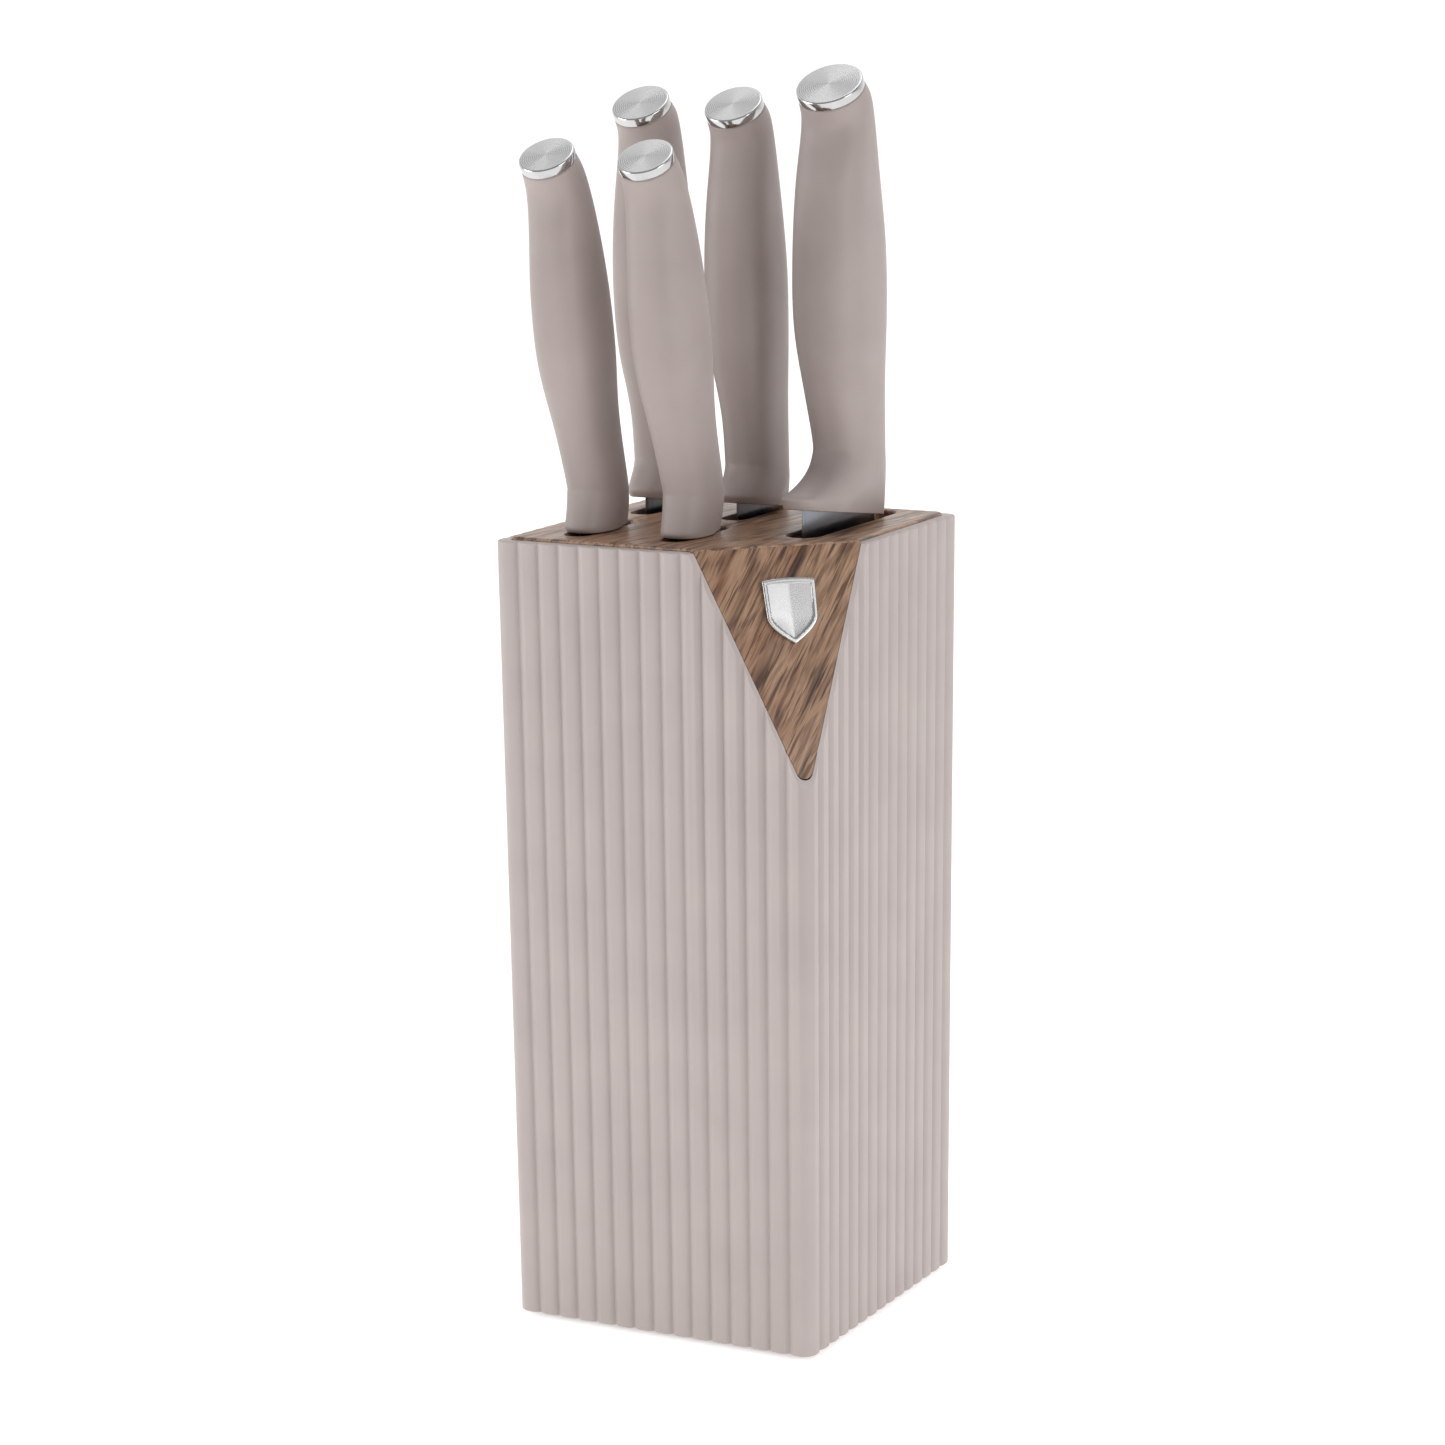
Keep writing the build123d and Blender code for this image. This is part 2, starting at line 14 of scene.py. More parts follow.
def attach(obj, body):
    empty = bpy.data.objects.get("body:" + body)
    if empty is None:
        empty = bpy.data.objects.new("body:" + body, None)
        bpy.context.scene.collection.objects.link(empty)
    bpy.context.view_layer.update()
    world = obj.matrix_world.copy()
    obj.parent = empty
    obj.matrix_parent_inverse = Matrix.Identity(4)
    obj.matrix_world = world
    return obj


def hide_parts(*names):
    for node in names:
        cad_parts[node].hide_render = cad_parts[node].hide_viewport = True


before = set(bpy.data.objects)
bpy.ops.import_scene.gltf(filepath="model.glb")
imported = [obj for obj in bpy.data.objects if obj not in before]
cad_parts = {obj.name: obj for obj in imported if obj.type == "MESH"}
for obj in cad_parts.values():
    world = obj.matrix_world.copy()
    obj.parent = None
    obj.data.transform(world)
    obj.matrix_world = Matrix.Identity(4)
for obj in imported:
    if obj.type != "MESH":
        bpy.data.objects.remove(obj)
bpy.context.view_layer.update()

log = logging.getLogger("knife_block")

# Metres in a millimetre, then the heights that the block and the knives share, in millimetres.
MM = 0.001
RIM = 242.5
SLAB_TOP = 243.5
SLAB_BOTTOM = 234.5

Point = tuple[float, float, float]
Ring = list[Point]


# ---------------------------------------------------------------- mesh tools


def mesh_object(
    name: str,
    points: Sequence[Point],
    faces: Sequence[Sequence[int]],
    sharp_angle: float = 35.0,
    placed: Matrix | None = None,
) -> bpy.types.Object:
    """Make a mesh object from millimetre points, with outward normals and sharp edges by angle.

    Args:
        name: Name of the piece.
        points: Corners in millimetres.
        faces: Corner numbers of each face.
        sharp_angle: Edges that bend by more than these degrees stay crisp.
        placed: Placement of the piece in metres, where its points are in its own frame.

    Returns:
        The object, linked to the scene.
    """
    mesh = bpy.data.meshes.new(name)
    mesh.from_pydata([tuple(c * MM for c in p) for p in points], [], [list(f) for f in faces])
    obj = bpy.data.objects.new(name, mesh)
    bpy.context.scene.collection.objects.link(obj)
    if placed is not None:
        obj.matrix_world = placed
    clean(obj, sharp_angle)
    return obj


def clean(obj: bpy.types.Object, sharp_angle: float) -> None:
    """Weld doubles, point the normals outward and shade smooth between sharp edges.

    Args:
        obj: Mesh object to tidy.
        sharp_angle: Edges that bend by more than these degrees stay crisp.
    """
    work = bmesh.new()
    work.from_mesh(obj.data)
    bmesh.ops.remove_doubles(work, verts=work.verts, dist=1e-6)
    bmesh.ops.dissolve_degenerate(work, edges=work.edges, dist=1e-7)
    bmesh.ops.recalc_face_normals(work, faces=work.faces)
    work.to_mesh(obj.data)
    work.free()
    obj.data.shade_smooth()
    obj.data.set_sharp_from_angle(angle=math.radians(sharp_angle))


def loft(rings: Sequence[Ring]) -> tuple[list[Point], list[list[int]]]:
    """Join rings of equal length with quads, and close both ends.

    Args:
        rings: Rings of points, in order along the piece.

    Returns:
        The points and the faces.
    """
    count = len(rings[0])
    points = [p for ring in rings for p in ring]
    faces: list[list[int]] = []
    for level in range(len(rings) - 1):
        base = level * count
        for i in range(count):
            j = (i + 1) % count
            faces.append([base + i, base + j, base + count + j, base + count + i])
    faces.append(list(range(count))[::-1])
    faces.append([(len(rings) - 1) * count + i for i in range(count)])
    return points, faces


def cut(obj: bpy.types.Object, tool: bpy.types.Object, operation: str = "DIFFERENCE") -> None:
    """Carve one mesh with another and throw the tool away.

    Args:
        obj: Piece that is kept.
        tool: Piece that is spent.
        operation: DIFFERENCE, UNION or INTERSECT.
    """
    modifier = obj.modifiers.new("cut", "BOOLEAN")
    modifier.operation = operation
    modifier.solver = "EXACT"
    modifier.object = tool
    evaluated = obj.evaluated_get(bpy.context.evaluated_depsgraph_get())
    mesh = bpy.data.meshes.new_from_object(evaluated)
    obj.modifiers.clear()
    old = obj.data
    obj.data = mesh
    bpy.data.meshes.remove(old)
    spent = tool.data
    bpy.data.objects.remove(tool)
    bpy.data.meshes.remove(spent)


def slice_off(obj: bpy.types.Object, at: Vector, normal: Vector) -> None:
    """Remove all of a closed mesh on the outer side of a plane and close the cut.

    Args:
        obj: Mesh object to cut.
        at: Point on the plane in millimetres.
        normal: Outward direction of the part to remove.
    """
    side = 400.0  # more than any piece reaches
    corners = [(-1, -1), (1, -1), (1, 1), (-1, 1)]
    rings = [[(x * side, y * side, z) for x, y in corners] for z in (0.0, side)]
    turn = Vector((0, 0, 1)).rotation_difference(normal).to_matrix().to_4x4()
    cut(obj, mesh_object("half_space", *loft(rings), placed=Matrix.Translation(at * MM) @ turn))


def smooth_curve(knots: Sequence[Sequence[float]], steps: int) -> list[list[float]]:
    """Pass a smooth curve through rows of numbers (Catmull-Rom, chord length spacing).

    Args:
        knots: Rows of equal length; the curve passes through each.
        steps: Points on each span.

    Returns:
        The rows along the curve.
    """
    times = [0.0]
    for a, b in zip(knots, knots[1:]):
        times.append(times[-1] + max(math.dist(a, b), 1e-6) ** 0.5)
    slopes: list[list[float]] = []
    last = len(knots) - 1
    for i in range(len(knots)):
        low, high = max(i - 1, 0), min(i + 1, last)
        gap = times[high] - times[low]
        slopes.append([(b - a) / gap for a, b in zip(knots[low], knots[high])])
    rows: list[list[float]] = []
    for i in range(last):
        gap = times[i + 1] - times[i]
        for step in range(steps):
            t = step / steps
            row = []
            for a, b, ma, mb in zip(knots[i], knots[i + 1], slopes[i], slopes[i + 1]):
                row.append(
                    (2 * t**3 - 3 * t**2 + 1) * a
                    + (t**3 - 2 * t**2 + t) * gap * ma
                    + (-2 * t**3 + 3 * t**2) * b
                    + (t**3 - t**2) * gap * mb
                )
            rows.append(row)
    rows.append(list(knots[-1]))
    return rows


def soft_limit(value: float, limit: float, softness: float) -> float:
    """Smaller of two numbers, blended over the softness so the meeting line is rounded."""
    blend = max(softness - abs(value - limit), 0.0) / softness
    return min(value, limit) - blend * blend * softness * 0.25


# ---------------------------------------------------------------- materials


def linear(colour: str) -> tuple[float, float, float, float]:
    """Turn an sRGB hex colour into the linear values that shaders take.

    Args:
        colour: Colour such as "#b5a9a6".

    Returns:
        Red, green, blue and alpha.
    """
    parts = [int(colour[i : i + 2], 16) / 255 for i in (1, 3, 5)]
    r, g, b = (c / 12.92 if c <= 0.04045 else ((c + 0.055) / 1.055) ** 2.4 for c in parts)
    return (r, g, b, 1.0)


def per_mm(size: float) -> float:
    """Pattern scale whose features have a real size in millimetres."""
    return 1.0 / (size * MM)


def add_node(
    tree: bpy.types.NodeTree,
    kind: str,
    settings: dict[str, object] | None = None,
    values: dict[str | int, object] | None = None,
    links: dict[str | int, bpy.types.NodeSocket] | None = None,
    stops: Sequence[tuple[float, str]] = (),
) -> bpy.types.Node:
    """Add a shader node with its settings and links.

    Args:
        tree: Node tree that takes it.
        kind: Node type, such as ShaderNodeTexNoise.
        settings: Properties of the node.
        values: Numbers or colours for its inputs.
        links: Sockets that feed its inputs.
        stops: Positions and sRGB hex colours, in rising order, where it is a colour ramp.

    Returns:
        The node.
    """
    node = tree.nodes.new(kind)
    for key, value in (settings or {}).items():
        setattr(node, key, value)
    for key, value in (values or {}).items():
        node.inputs[key].default_value = value
    for key, socket in (links or {}).items():
        tree.links.new(socket, node.inputs[key])
    for number, (position, colour) in enumerate(stops):
        band = node.color_ramp.elements
        stop = band[number] if number < len(band) else band.new(position)
        stop.position = position
        stop.color = linear(colour)
    return node


def pattern_space(
    tree: bpy.types.NodeTree, stretch: Sequence[float] = (1, 1, 1), turn: Sequence[float] = (0, 0, 0)
) -> bpy.types.NodeSocket:
    """Coordinates in the piece's own metres, turned and then drawn out along an axis.

    Args:
        tree: Node tree of the material.
        stretch: Scale of each axis after the turn; a small number draws the pattern out.
        turn: Rotation of the pattern in radians.

    Returns:
        The coordinates.
    """
    own = add_node(tree, "ShaderNodeTexCoord")
    turned = add_node(
        tree, "ShaderNodeMapping", {"vector_type": "POINT"}, {"Rotation": turn}, {"Vector": own.outputs["Object"]}
    )
    drawn = add_node(
        tree, "ShaderNodeMapping", {"vector_type": "POINT"}, {"Scale": stretch}, {"Vector": turned.outputs[0]}
    )
    return drawn.outputs[0]


# Nearly all of a noise pattern lies between these values.
NOISE_RANGE = {"From Min": 0.3, "From Max": 0.7}


class Finish:
    """Base of every finish: makes its material once and hands it out by name."""

    title: str

    def dress(self, tree: bpy.types.NodeTree, shader: bpy.types.Node) -> None:
        """Set the shader's sockets and add the pattern nodes."""
        raise NotImplementedError

    def material(self) -> bpy.types.Material:
        """Make the material, or give the one already made.

        Returns:
            The material, shared by every piece with this finish.
        """
        found = bpy.data.materials.get(self.title)
        if found:
            return found
        made = bpy.data.materials.new(self.title)
        made.use_nodes = True
        tree = made.node_tree
        shader = next(n for n in tree.nodes if n.type == "BSDF_PRINCIPLED")
        self.dress(tree, shader)
        return made

    def feed(
        self,
        tree: bpy.types.NodeTree,
        shader: bpy.types.Node,
        colour: bpy.types.NodeSocket,
        roughness: bpy.types.Node,
        bump: bpy.types.Node,
    ) -> None:
        """Link the finished patterns to the shader.

        Args:
            tree: Node tree of the material.
            shader: Shader that takes them.
            colour: Colour over the surface.
            roughness: Range node with the roughness.
            bump: Bump node with the fine relief.
        """
        tree.links.new(colour, shader.inputs["Base Color"])
        tree.links.new(roughness.outputs["Result"], shader.inputs["Roughness"])
        tree.links.new(bump.outputs["Normal"], shader.inputs["Normal"])


@dataclass(frozen=True)
class MouldedPlastic(Finish):
    """Injection moulded plastic with a fine spark-eroded texture."""

    title: str
    colour: str
    shade: str
    roughness: float
    grain_mm: float = 0.5
    grain_depth_mm: float = 0.012
    sheen: float = 0.0
    cloud_mm: float = 22.0
    smear_mm: float = 9.0
    gloss_swing: float = 0.05

    def dress(self, tree: bpy.types.NodeTree, shader: bpy.types.Node) -> None:
        """Cloudy colour, roughness that wanders and the fine texture of the mould.

        Args:
            tree: Node tree of the material.
            shader: Its shader.
        """
        space = {"Vector": pattern_space(tree)}
        clouds = add_node(tree, "ShaderNodeTexNoise", {}, {"Scale": per_mm(self.cloud_mm), "Detail": 3.0}, space)
        smear = add_node(tree, "ShaderNodeTexNoise", {}, {"Scale": per_mm(self.smear_mm), "Detail": 4.0}, space)
        grain = add_node(tree, "ShaderNodeTexNoise", {}, {"Scale": per_mm(self.grain_mm), "Detail": 2.0}, space)
        tone = add_node(
            tree,
            "ShaderNodeValToRGB",
            links={"Fac": clouds.outputs["Fac"]},
            stops=[(0.3, self.shade), (0.7, self.colour)],
        )
        gloss = add_node(
            tree,
            "ShaderNodeMapRange",
            values=NOISE_RANGE
            | {"To Min": self.roughness - self.gloss_swing, "To Max": self.roughness + self.gloss_swing},
            links={"Value": smear.outputs["Fac"]},
        )
        bump = add_node(
            tree,
            "ShaderNodeBump",
            values={"Strength": 0.6, "Distance": self.grain_depth_mm * MM},
            links={"Height": grain.outputs["Fac"]},
        )
        shader.inputs["IOR"].default_value = 1.52
        shader.inputs["Sheen Weight"].default_value = self.sheen
        shader.inputs["Sheen Roughness"].default_value = 0.4
        self.feed(tree, shader, tone.outputs["Color"], gloss, bump)


class Grain(Enum):
    """Directions in which the wood film is laid on the top and on the sloping panel."""

    TOP = (0.12, 1.0, 0.0)
    FACET = (0.1745, 0.5892, 0.787)

    def turn(self) -> tuple[float, float, float]:
        """Angles in radians that bring the grain onto the pattern's Z."""
        return tuple(Vector(self.value).normalized().rotation_difference(Vector((0, 0, 1))).to_euler("XYZ"))


@dataclass(frozen=True)
class WalnutFilm(Finish):
    """Walnut transfer film under satin lacquer: brown streaks with dark pores."""

    title: str
    grain: Grain
    dark: str = "#5a4233"
    mid: str = "#8f6f58"
    light: str = "#b08d72"
    red: str = "#c9a898"
    pore: str = "#6f5a4c"
    roughness: float = 0.36
    streak_mm: float = 2.4
    fibre_mm: float = 0.7
    cloud_mm: float = 11.0
    pore_depth_mm: float = 0.05

    def dress(self, tree: bpy.types.NodeTree, shader: bpy.types.Node) -> None:
        """Long streaks, finer pores, reddish clouds and a satin coat.

        Args:
            tree: Node tree of the material.
            shader: Its shader.
        """
        turn = self.grain.turn()
        streaks, fibres, clouds = (
            add_node(
                tree,
                "ShaderNodeTexNoise",
                values={"Scale": per_mm(size), "Detail": detail, "Distortion": warp},
                links={"Vector": pattern_space(tree, (1, 1, drawn_out), turn)},
            ).outputs["Fac"]
            for size, detail, drawn_out, warp in (
                (self.streak_mm, 4.0, 0.12, 0.6),
                (self.fibre_mm, 3.0, 0.05, 0.3),
                (self.cloud_mm, 2.0, 0.35, 0.8),
            )
        )
        base = add_node(
            tree,
            "ShaderNodeValToRGB",
            links={"Fac": streaks},
            stops=[(0.33, self.dark), (0.45, self.mid), (0.56, self.light), (0.68, self.mid)],
        )
        blush = add_node(tree, "ShaderNodeValToRGB", links={"Fac": clouds}, stops=[(0.4, "#ffffff"), (0.75, self.red)])
        share = add_node(
            tree, "ShaderNodeMapRange", values=NOISE_RANGE | {"To Min": 0.0, "To Max": 0.75}, links={"Value": clouds}
        )
        tinted = add_node(
            tree,
            "ShaderNodeMix",
            {"data_type": "RGBA", "blend_type": "MULTIPLY"},
            links={0: share.outputs["Result"], 6: base.outputs["Color"], 7: blush.outputs["Color"]},
        )
        pores = add_node(
            tree, "ShaderNodeValToRGB", links={"Fac": fibres}, stops=[(0.36, self.pore), (0.46, "#ffffff")]
        )
        colour = add_node(
            tree,
            "ShaderNodeMix",
            {"data_type": "RGBA", "blend_type": "MULTIPLY"},
            {0: 0.75},
            {6: tinted.outputs[2], 7: pores.outputs["Color"]},
        )
        gloss = add_node(
            tree,
            "ShaderNodeMapRange",
            values=NOISE_RANGE | {"To Min": self.roughness + 0.08, "To Max": self.roughness - 0.06},
            links={"Value": fibres},
        )
        bump = add_node(
            tree,
            "ShaderNodeBump",
            values={"Strength": 0.35, "Distance": self.pore_depth_mm * MM},
            links={"Height": fibres},
        )
        shader.inputs["IOR"].default_value = 1.5
        self.feed(tree, shader, colour.outputs[2], gloss, bump)


class Brushing(Enum):
    """Ways in which the steel is brushed."""

    ALONG_BLADE = "along"
    ROUND_DISC = "round"
    POLISHED = "polished"


@dataclass(frozen=True)
class Steel(Finish):
    """Steel or plated metal, brushed, spun or polished."""

    title: str
    colour: str
    roughness: float
    brushing: Brushing
    anisotropy: float = 0.0
    line_mm: float = 0.35
    scratch_mm: float = 0.002
    smudge_mm: float = 6.0
    wear: str = "#dcdcdc"
    gloss_swing: float = 0.05

    def lines(self, tree: bpy.types.NodeTree, shader: bpy.types.Node) -> bpy.types.NodeSocket:
        """Pattern of the tool: rings, long scratches, or soft smudges where it is polished.

        Args:
            tree: Node tree of the material.
            shader: Its shader, which takes the direction of the rings.

        Returns:
            The pattern, from 0 to 1.
        """
        if self.brushing is Brushing.ROUND_DISC:
            swirl = add_node(tree, "ShaderNodeTangent", {"direction_type": "RADIAL", "axis": "Z"})
            tree.links.new(swirl.outputs["Tangent"], shader.inputs["Tangent"])
            own = add_node(tree, "ShaderNodeTexCoord")
            # The wave node draws twenty rings to the unit at a scale of one.
            rings = add_node(
                tree,
                "ShaderNodeTexWave",
                {"wave_type": "RINGS", "rings_direction": "Z"},
                {"Scale": per_mm(20 * self.line_mm), "Distortion": 2.5, "Detail": 4.0, "Detail Scale": 6.0},
                {"Vector": own.outputs["Object"]},
            )
            return rings.outputs["Fac"]
        brushed = self.brushing is Brushing.ALONG_BLADE
        noise = add_node(
            tree,
            "ShaderNodeTexNoise",
            values={"Scale": per_mm(self.line_mm if brushed else self.smudge_mm), "Detail": 3.0},
            links={"Vector": pattern_space(tree, (1, 1, 0.03 if brushed else 1))},
        )
        return noise.outputs["Fac"]

    def dress(self, tree: bpy.types.NodeTree, shader: bpy.types.Node) -> None:
        """Metal with fine scratch lines in the direction of the tool.

        Args:
            tree: Node tree of the material.
            shader: Its shader.
        """
        shader.inputs["Metallic"].default_value = 1.0
        shader.inputs["Anisotropic"].default_value = self.anisotropy
        lines = self.lines(tree, shader)
        tone = add_node(
            tree,
            "ShaderNodeMix",
            {"data_type": "RGBA", "blend_type": "MULTIPLY"},
            {6: linear(self.colour), 7: linear(self.wear)},
            {0: lines},
        )
        gloss = add_node(
            tree,
            "ShaderNodeMapRange",
            values=NOISE_RANGE
            | {"To Min": max(self.roughness - self.gloss_swing, 0.03), "To Max": self.roughness + self.gloss_swing},
            links={"Value": lines},
        )
        bump = add_node(
            tree,
            "ShaderNodeBump",
            values={"Strength": 0.2, "Distance": self.scratch_mm * MM},
            links={"Height": lines},
        )
        self.feed(tree, shader, tone.outputs[2], gloss, bump)


# Taupe ABS, moulded in an eroded tool: matt and even, so the ribs show only by their shading.
CASING_ABS = MouldedPlastic(
    "Moulded ABS, matt taupe", "#b9aeaa", "#b4a8a5", roughness=0.5, grain_mm=0.6, grain_depth_mm=0.02
)
# Thermoplastic rubber over the handle core: the same taupe, a little darker, with a dry soft sheen.
SOFT_TOUCH = MouldedPlastic(
    "Overmoulded TPE, soft touch taupe",
    "#a89b97",
    "#a19490",
    roughness=0.52,
    grain_mm=0.45,
    grain_depth_mm=0.01,
    sheen=0.15,
)
# Polypropylene blade guides: black, slightly waxy, lost in the dark of the slots.
BLACK_PP = MouldedPlastic(
    "Moulded polypropylene, black", "#1b1a1c", "#151416", roughness=0.42, grain_mm=0.8, grain_depth_mm=0.02
)
# Glass filled nylon handle core: dark grey with a dry surface, seen only where the grip ends.
CORE_NYLON = MouldedPlastic(
    "Moulded nylon, dark grey", "#3a3838", "#333131", roughness=0.55, grain_mm=0.6, grain_depth_mm=0.03
)
# Rubber feet: near black, dull, with a slight bloom.
FOOT_RUBBER = MouldedPlastic(
    "Moulded rubber, black", "#222122", "#1b1a1b", roughness=0.8, grain_mm=0.7, grain_depth_mm=0.04, sheen=0.2
)
# Matt paint on a board: even and white, so that only the contact shadow shows.
FLOOR_PAINT = MouldedPlastic(
    "Painted floor, white", "#f6f6f6", "#f3f3f3", roughness=0.8, grain_mm=3.0, grain_depth_mm=0.01
)
# Film with walnut print: brown streaks with dark pores, glossy enough to mirror the handles softly.
WALNUT_TOP = WalnutFilm("Walnut film, satin lacquer, top", Grain.TOP)
WALNUT_FACET = WalnutFilm("Walnut film, satin lacquer, facet", Grain.FACET)
# Stainless knife steel, ground along the blade: long fine lines and a stretched highlight.
BLADE_STEEL = Steel(
    "Stainless steel, ground blade", "#8e9299", 0.22, Brushing.ALONG_BLADE, anisotropy=0.4, line_mm=0.3
)
# Stainless end caps, spun on the lathe: a bow-tie highlight turns round the middle.
CAP_STEEL = Steel("Stainless steel, spun disc", "#cfcfcf", 0.27, Brushing.ROUND_DISC, anisotropy=0.85, line_mm=0.1)
# The same disc on its polished side: a narrow band with crisp dark and light reflections.
CAP_EDGE_STEEL = Steel("Stainless steel, polished edge", "#d0d0d0", 0.1, Brushing.POLISHED)
# Die cast zinc with bright nickel: soft mirror that picks up the whole studio.
BADGE_ZINC = Steel("Die cast zinc, bright nickel", "#cfcfcf", 0.24, Brushing.POLISHED)
# Zinc plated fixings: bluish grey and slightly dull.
SCREW_ZINC = Steel("Carbon steel, zinc plated", "#a9adb3", 0.34, Brushing.POLISHED)


def dress_piece(obj: bpy.types.Object, slot: str, *finishes: Finish) -> None:
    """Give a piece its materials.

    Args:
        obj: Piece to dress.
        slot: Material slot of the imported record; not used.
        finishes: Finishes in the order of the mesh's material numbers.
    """
    obj.data.materials.clear()
    for finish in finishes:
        obj.data.materials.append(finish.material())


def seat(obj: bpy.types.Object, body: str, *nodes: str) -> bpy.types.Object:
    """Let a piece ride on a body in place of its plain nodes, and report it.

    Args:
        obj: Piece to seat.
        body: Body that carries it.
        nodes: Nodes that it stands for.

    Returns:
        The same piece.
    """
    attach(obj, body)
    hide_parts(*nodes)
    log.info("%-22s %6d faces, rides on %s", obj.name, len(obj.data.polygons), body)
    return obj


# ---------------------------------------------------------------- block


@dataclass
class Facet:
    """The sloping cut on the front right corner, with its own directions along and up the slope."""

    half_width: float = 52.5
    run: float = 39.0
    drop: float = 74.0
    along: Vector = field(init=False)
    normal: Vector = field(init=False)
    middle: Vector = field(init=False)
    slope_length: float = field(init=False)
    half_top: float = field(init=False)

    def __post_init__(self) -> None:
        """Work out the directions from the three corners of the cut."""
        left = Vector((self.half_width - self.run, -self.half_width, RIM))
        right = Vector((self.half_width, -self.half_width + self.run, RIM))
        low = Vector((self.half_width, -self.half_width, RIM - self.drop))
        self.middle = (left + right) / 2
        self.along = (right - left).normalized()
        self.normal = (low - left).cross(right - left).normalized()
        self.slope_length = (low - self.middle).length
        self.half_top = (right - left).length / 2

    def place(self, x: float, y: float, z: float) -> Point:
        """Point at a distance along, up-slope and out from the middle of the facet's top edge."""
        spot = self.middle + self.along * x + self.normal.cross(self.along) * y + self.normal * z
        return (spot.x, spot.y, spot.z)


FACET = Facet()


@dataclass
class Casing:
    """Ribbed outer casing with its cut corner."""

    half_width: float = 52.5
    bottom: float = 1.5
    draft: float = math.tan(math.radians(0.43))
    corner_radius: float = 4.0
    wall: float = 3.5
    rib_count: int = 15
    end_rib: float = 7.9
    rib_depth: float = 1.1
    edge_round: float = 0.5
    points_per_rib: int = 16
    groove_start: float = 0.88
    crest_power: float = 3.5
    corner_steps: int = 8
    edge_steps: int = 3
    backing_depth: float = 6.55
    cavity_radius: float = 2.5
    ledge: float = 3.0
    throat_half: float = 47.0
    seat_clearance: float = 0.15
    overlap: float = 1.0

    def crest_drop(self, u: float) -> float:
        """Depth below the crest across a rib: flat in the middle, with a small round groove.

        The crest's power curve and the groove's parabola meet with the same depth and slope.

        Args:
            u: Place across the half rib, 0 at its crest and 1 in the groove.

        Returns:
            Depth in millimetres.
        """
        start, power = self.groove_start, self.crest_power
        crest = 1 / (start**power + power * start ** (power - 1) * (1 - start) / 2)
        groove = crest * power * start ** (power - 1) / (2 * (1 - start))
        u = min(abs(u), 1.0)
        if u < start:
            return self.rib_depth * crest * u**power
        return self.rib_depth * (1 - groove * (1 - u) ** 2)

    def outline(self, half: float, inset: float = 0.0) -> list[tuple[float, float]]:
        """Outside of the casing at one level.

        Args:
            half: Half the width across the crests.
            inset: Distance by which the outline is drawn in.

        Returns:
            Points in order round the casing.
        """
        k = half / self.half_width
        straight = self.half_width - self.corner_radius
        pitch = (2 * self.half_width - 2 * self.end_rib) / (self.rib_count - 2)
        side: list[tuple[float, float]] = []
        first = self.end_rib - self.corner_radius
        steps = self.points_per_rib
        for i in range(steps):
            u = i / steps
            side.append((-straight + u * first, self.crest_drop(u)))
        for rib in range(self.rib_count - 2):
            start = -self.half_width + self.end_rib + rib * pitch
            for i in range(steps * 2):
                u = i / (steps * 2)
                side.append((start + u * pitch, self.crest_drop(2 * u - 1)))
        for i in range(steps):
            u = i / steps
            side.append((straight - first + u * first, self.crest_drop(1 - u)))
        points: list[tuple[float, float]] = []
        for quarter in range(4):
            turn = Matrix.Rotation(math.pi / 2 * quarter, 2)
            face = [(x, -self.half_width + d) for x, d in side]
            for i in range(self.corner_steps):
                angle = -math.pi / 2 + math.pi / 2 * i / self.corner_steps
                reach, rise = self.corner_radius * math.cos(angle), self.corner_radius * math.sin(angle)
                face.append((straight + reach, -straight + rise))
            for x, y in face:
                spot = turn @ Vector((x, y))
                points.append((spot.x * k, spot.y * k))
        shrink = (half - inset) / half
        return [(x * shrink, y * shrink) for x, y in points]

    def half_at(self, z: float) -> float:
        """Half the width across the crests at a height."""
        return self.half_width - (RIM - z) * self.draft

    def build(self) -> bpy.types.Object:
        """Loft the ribs, cut the corner and hollow the inside.

        Returns:
            The casing.
        """
        rings: list[Ring] = []
        for end, side in ((self.bottom, 1), (RIM, -1)):
            for i in range(self.edge_steps + 1):
                angle = math.pi / 2 * (i if side == 1 else self.edge_steps - i) / self.edge_steps
                z = end + side * self.edge_round * (1 - math.cos(angle))
                inset = self.edge_round * (1 - math.sin(angle))
                rings.append([(x, y, z) for x, y in self.outline(self.half_at(z), inset)])
        casing = mesh_object("outer_casing", *loft(rings))
        slice_off(casing, FACET.middle, FACET.normal)
        cavity_top = SLAB_BOTTOM - self.ledge
        half_low, half_high = self.half_at(self.bottom) - self.wall, self.half_at(SLAB_BOTTOM) - self.wall
        hollows = [
            ("inside", self.bottom - self.overlap, cavity_top, half_low, half_high),
            ("throat", cavity_top - self.overlap, SLAB_BOTTOM + self.overlap, self.throat_half, self.throat_half),
        ]
        for hollow in hollows:
            tool = rounded_box(*hollow, self.cavity_radius)
            slice_off(tool, FACET.middle - FACET.normal * self.backing_depth, FACET.normal)
            cut(casing, tool)
        cut(casing, WoodTop().blank("wood_seat", self.seat_clearance))
        clean(casing, 40.0)
        return casing


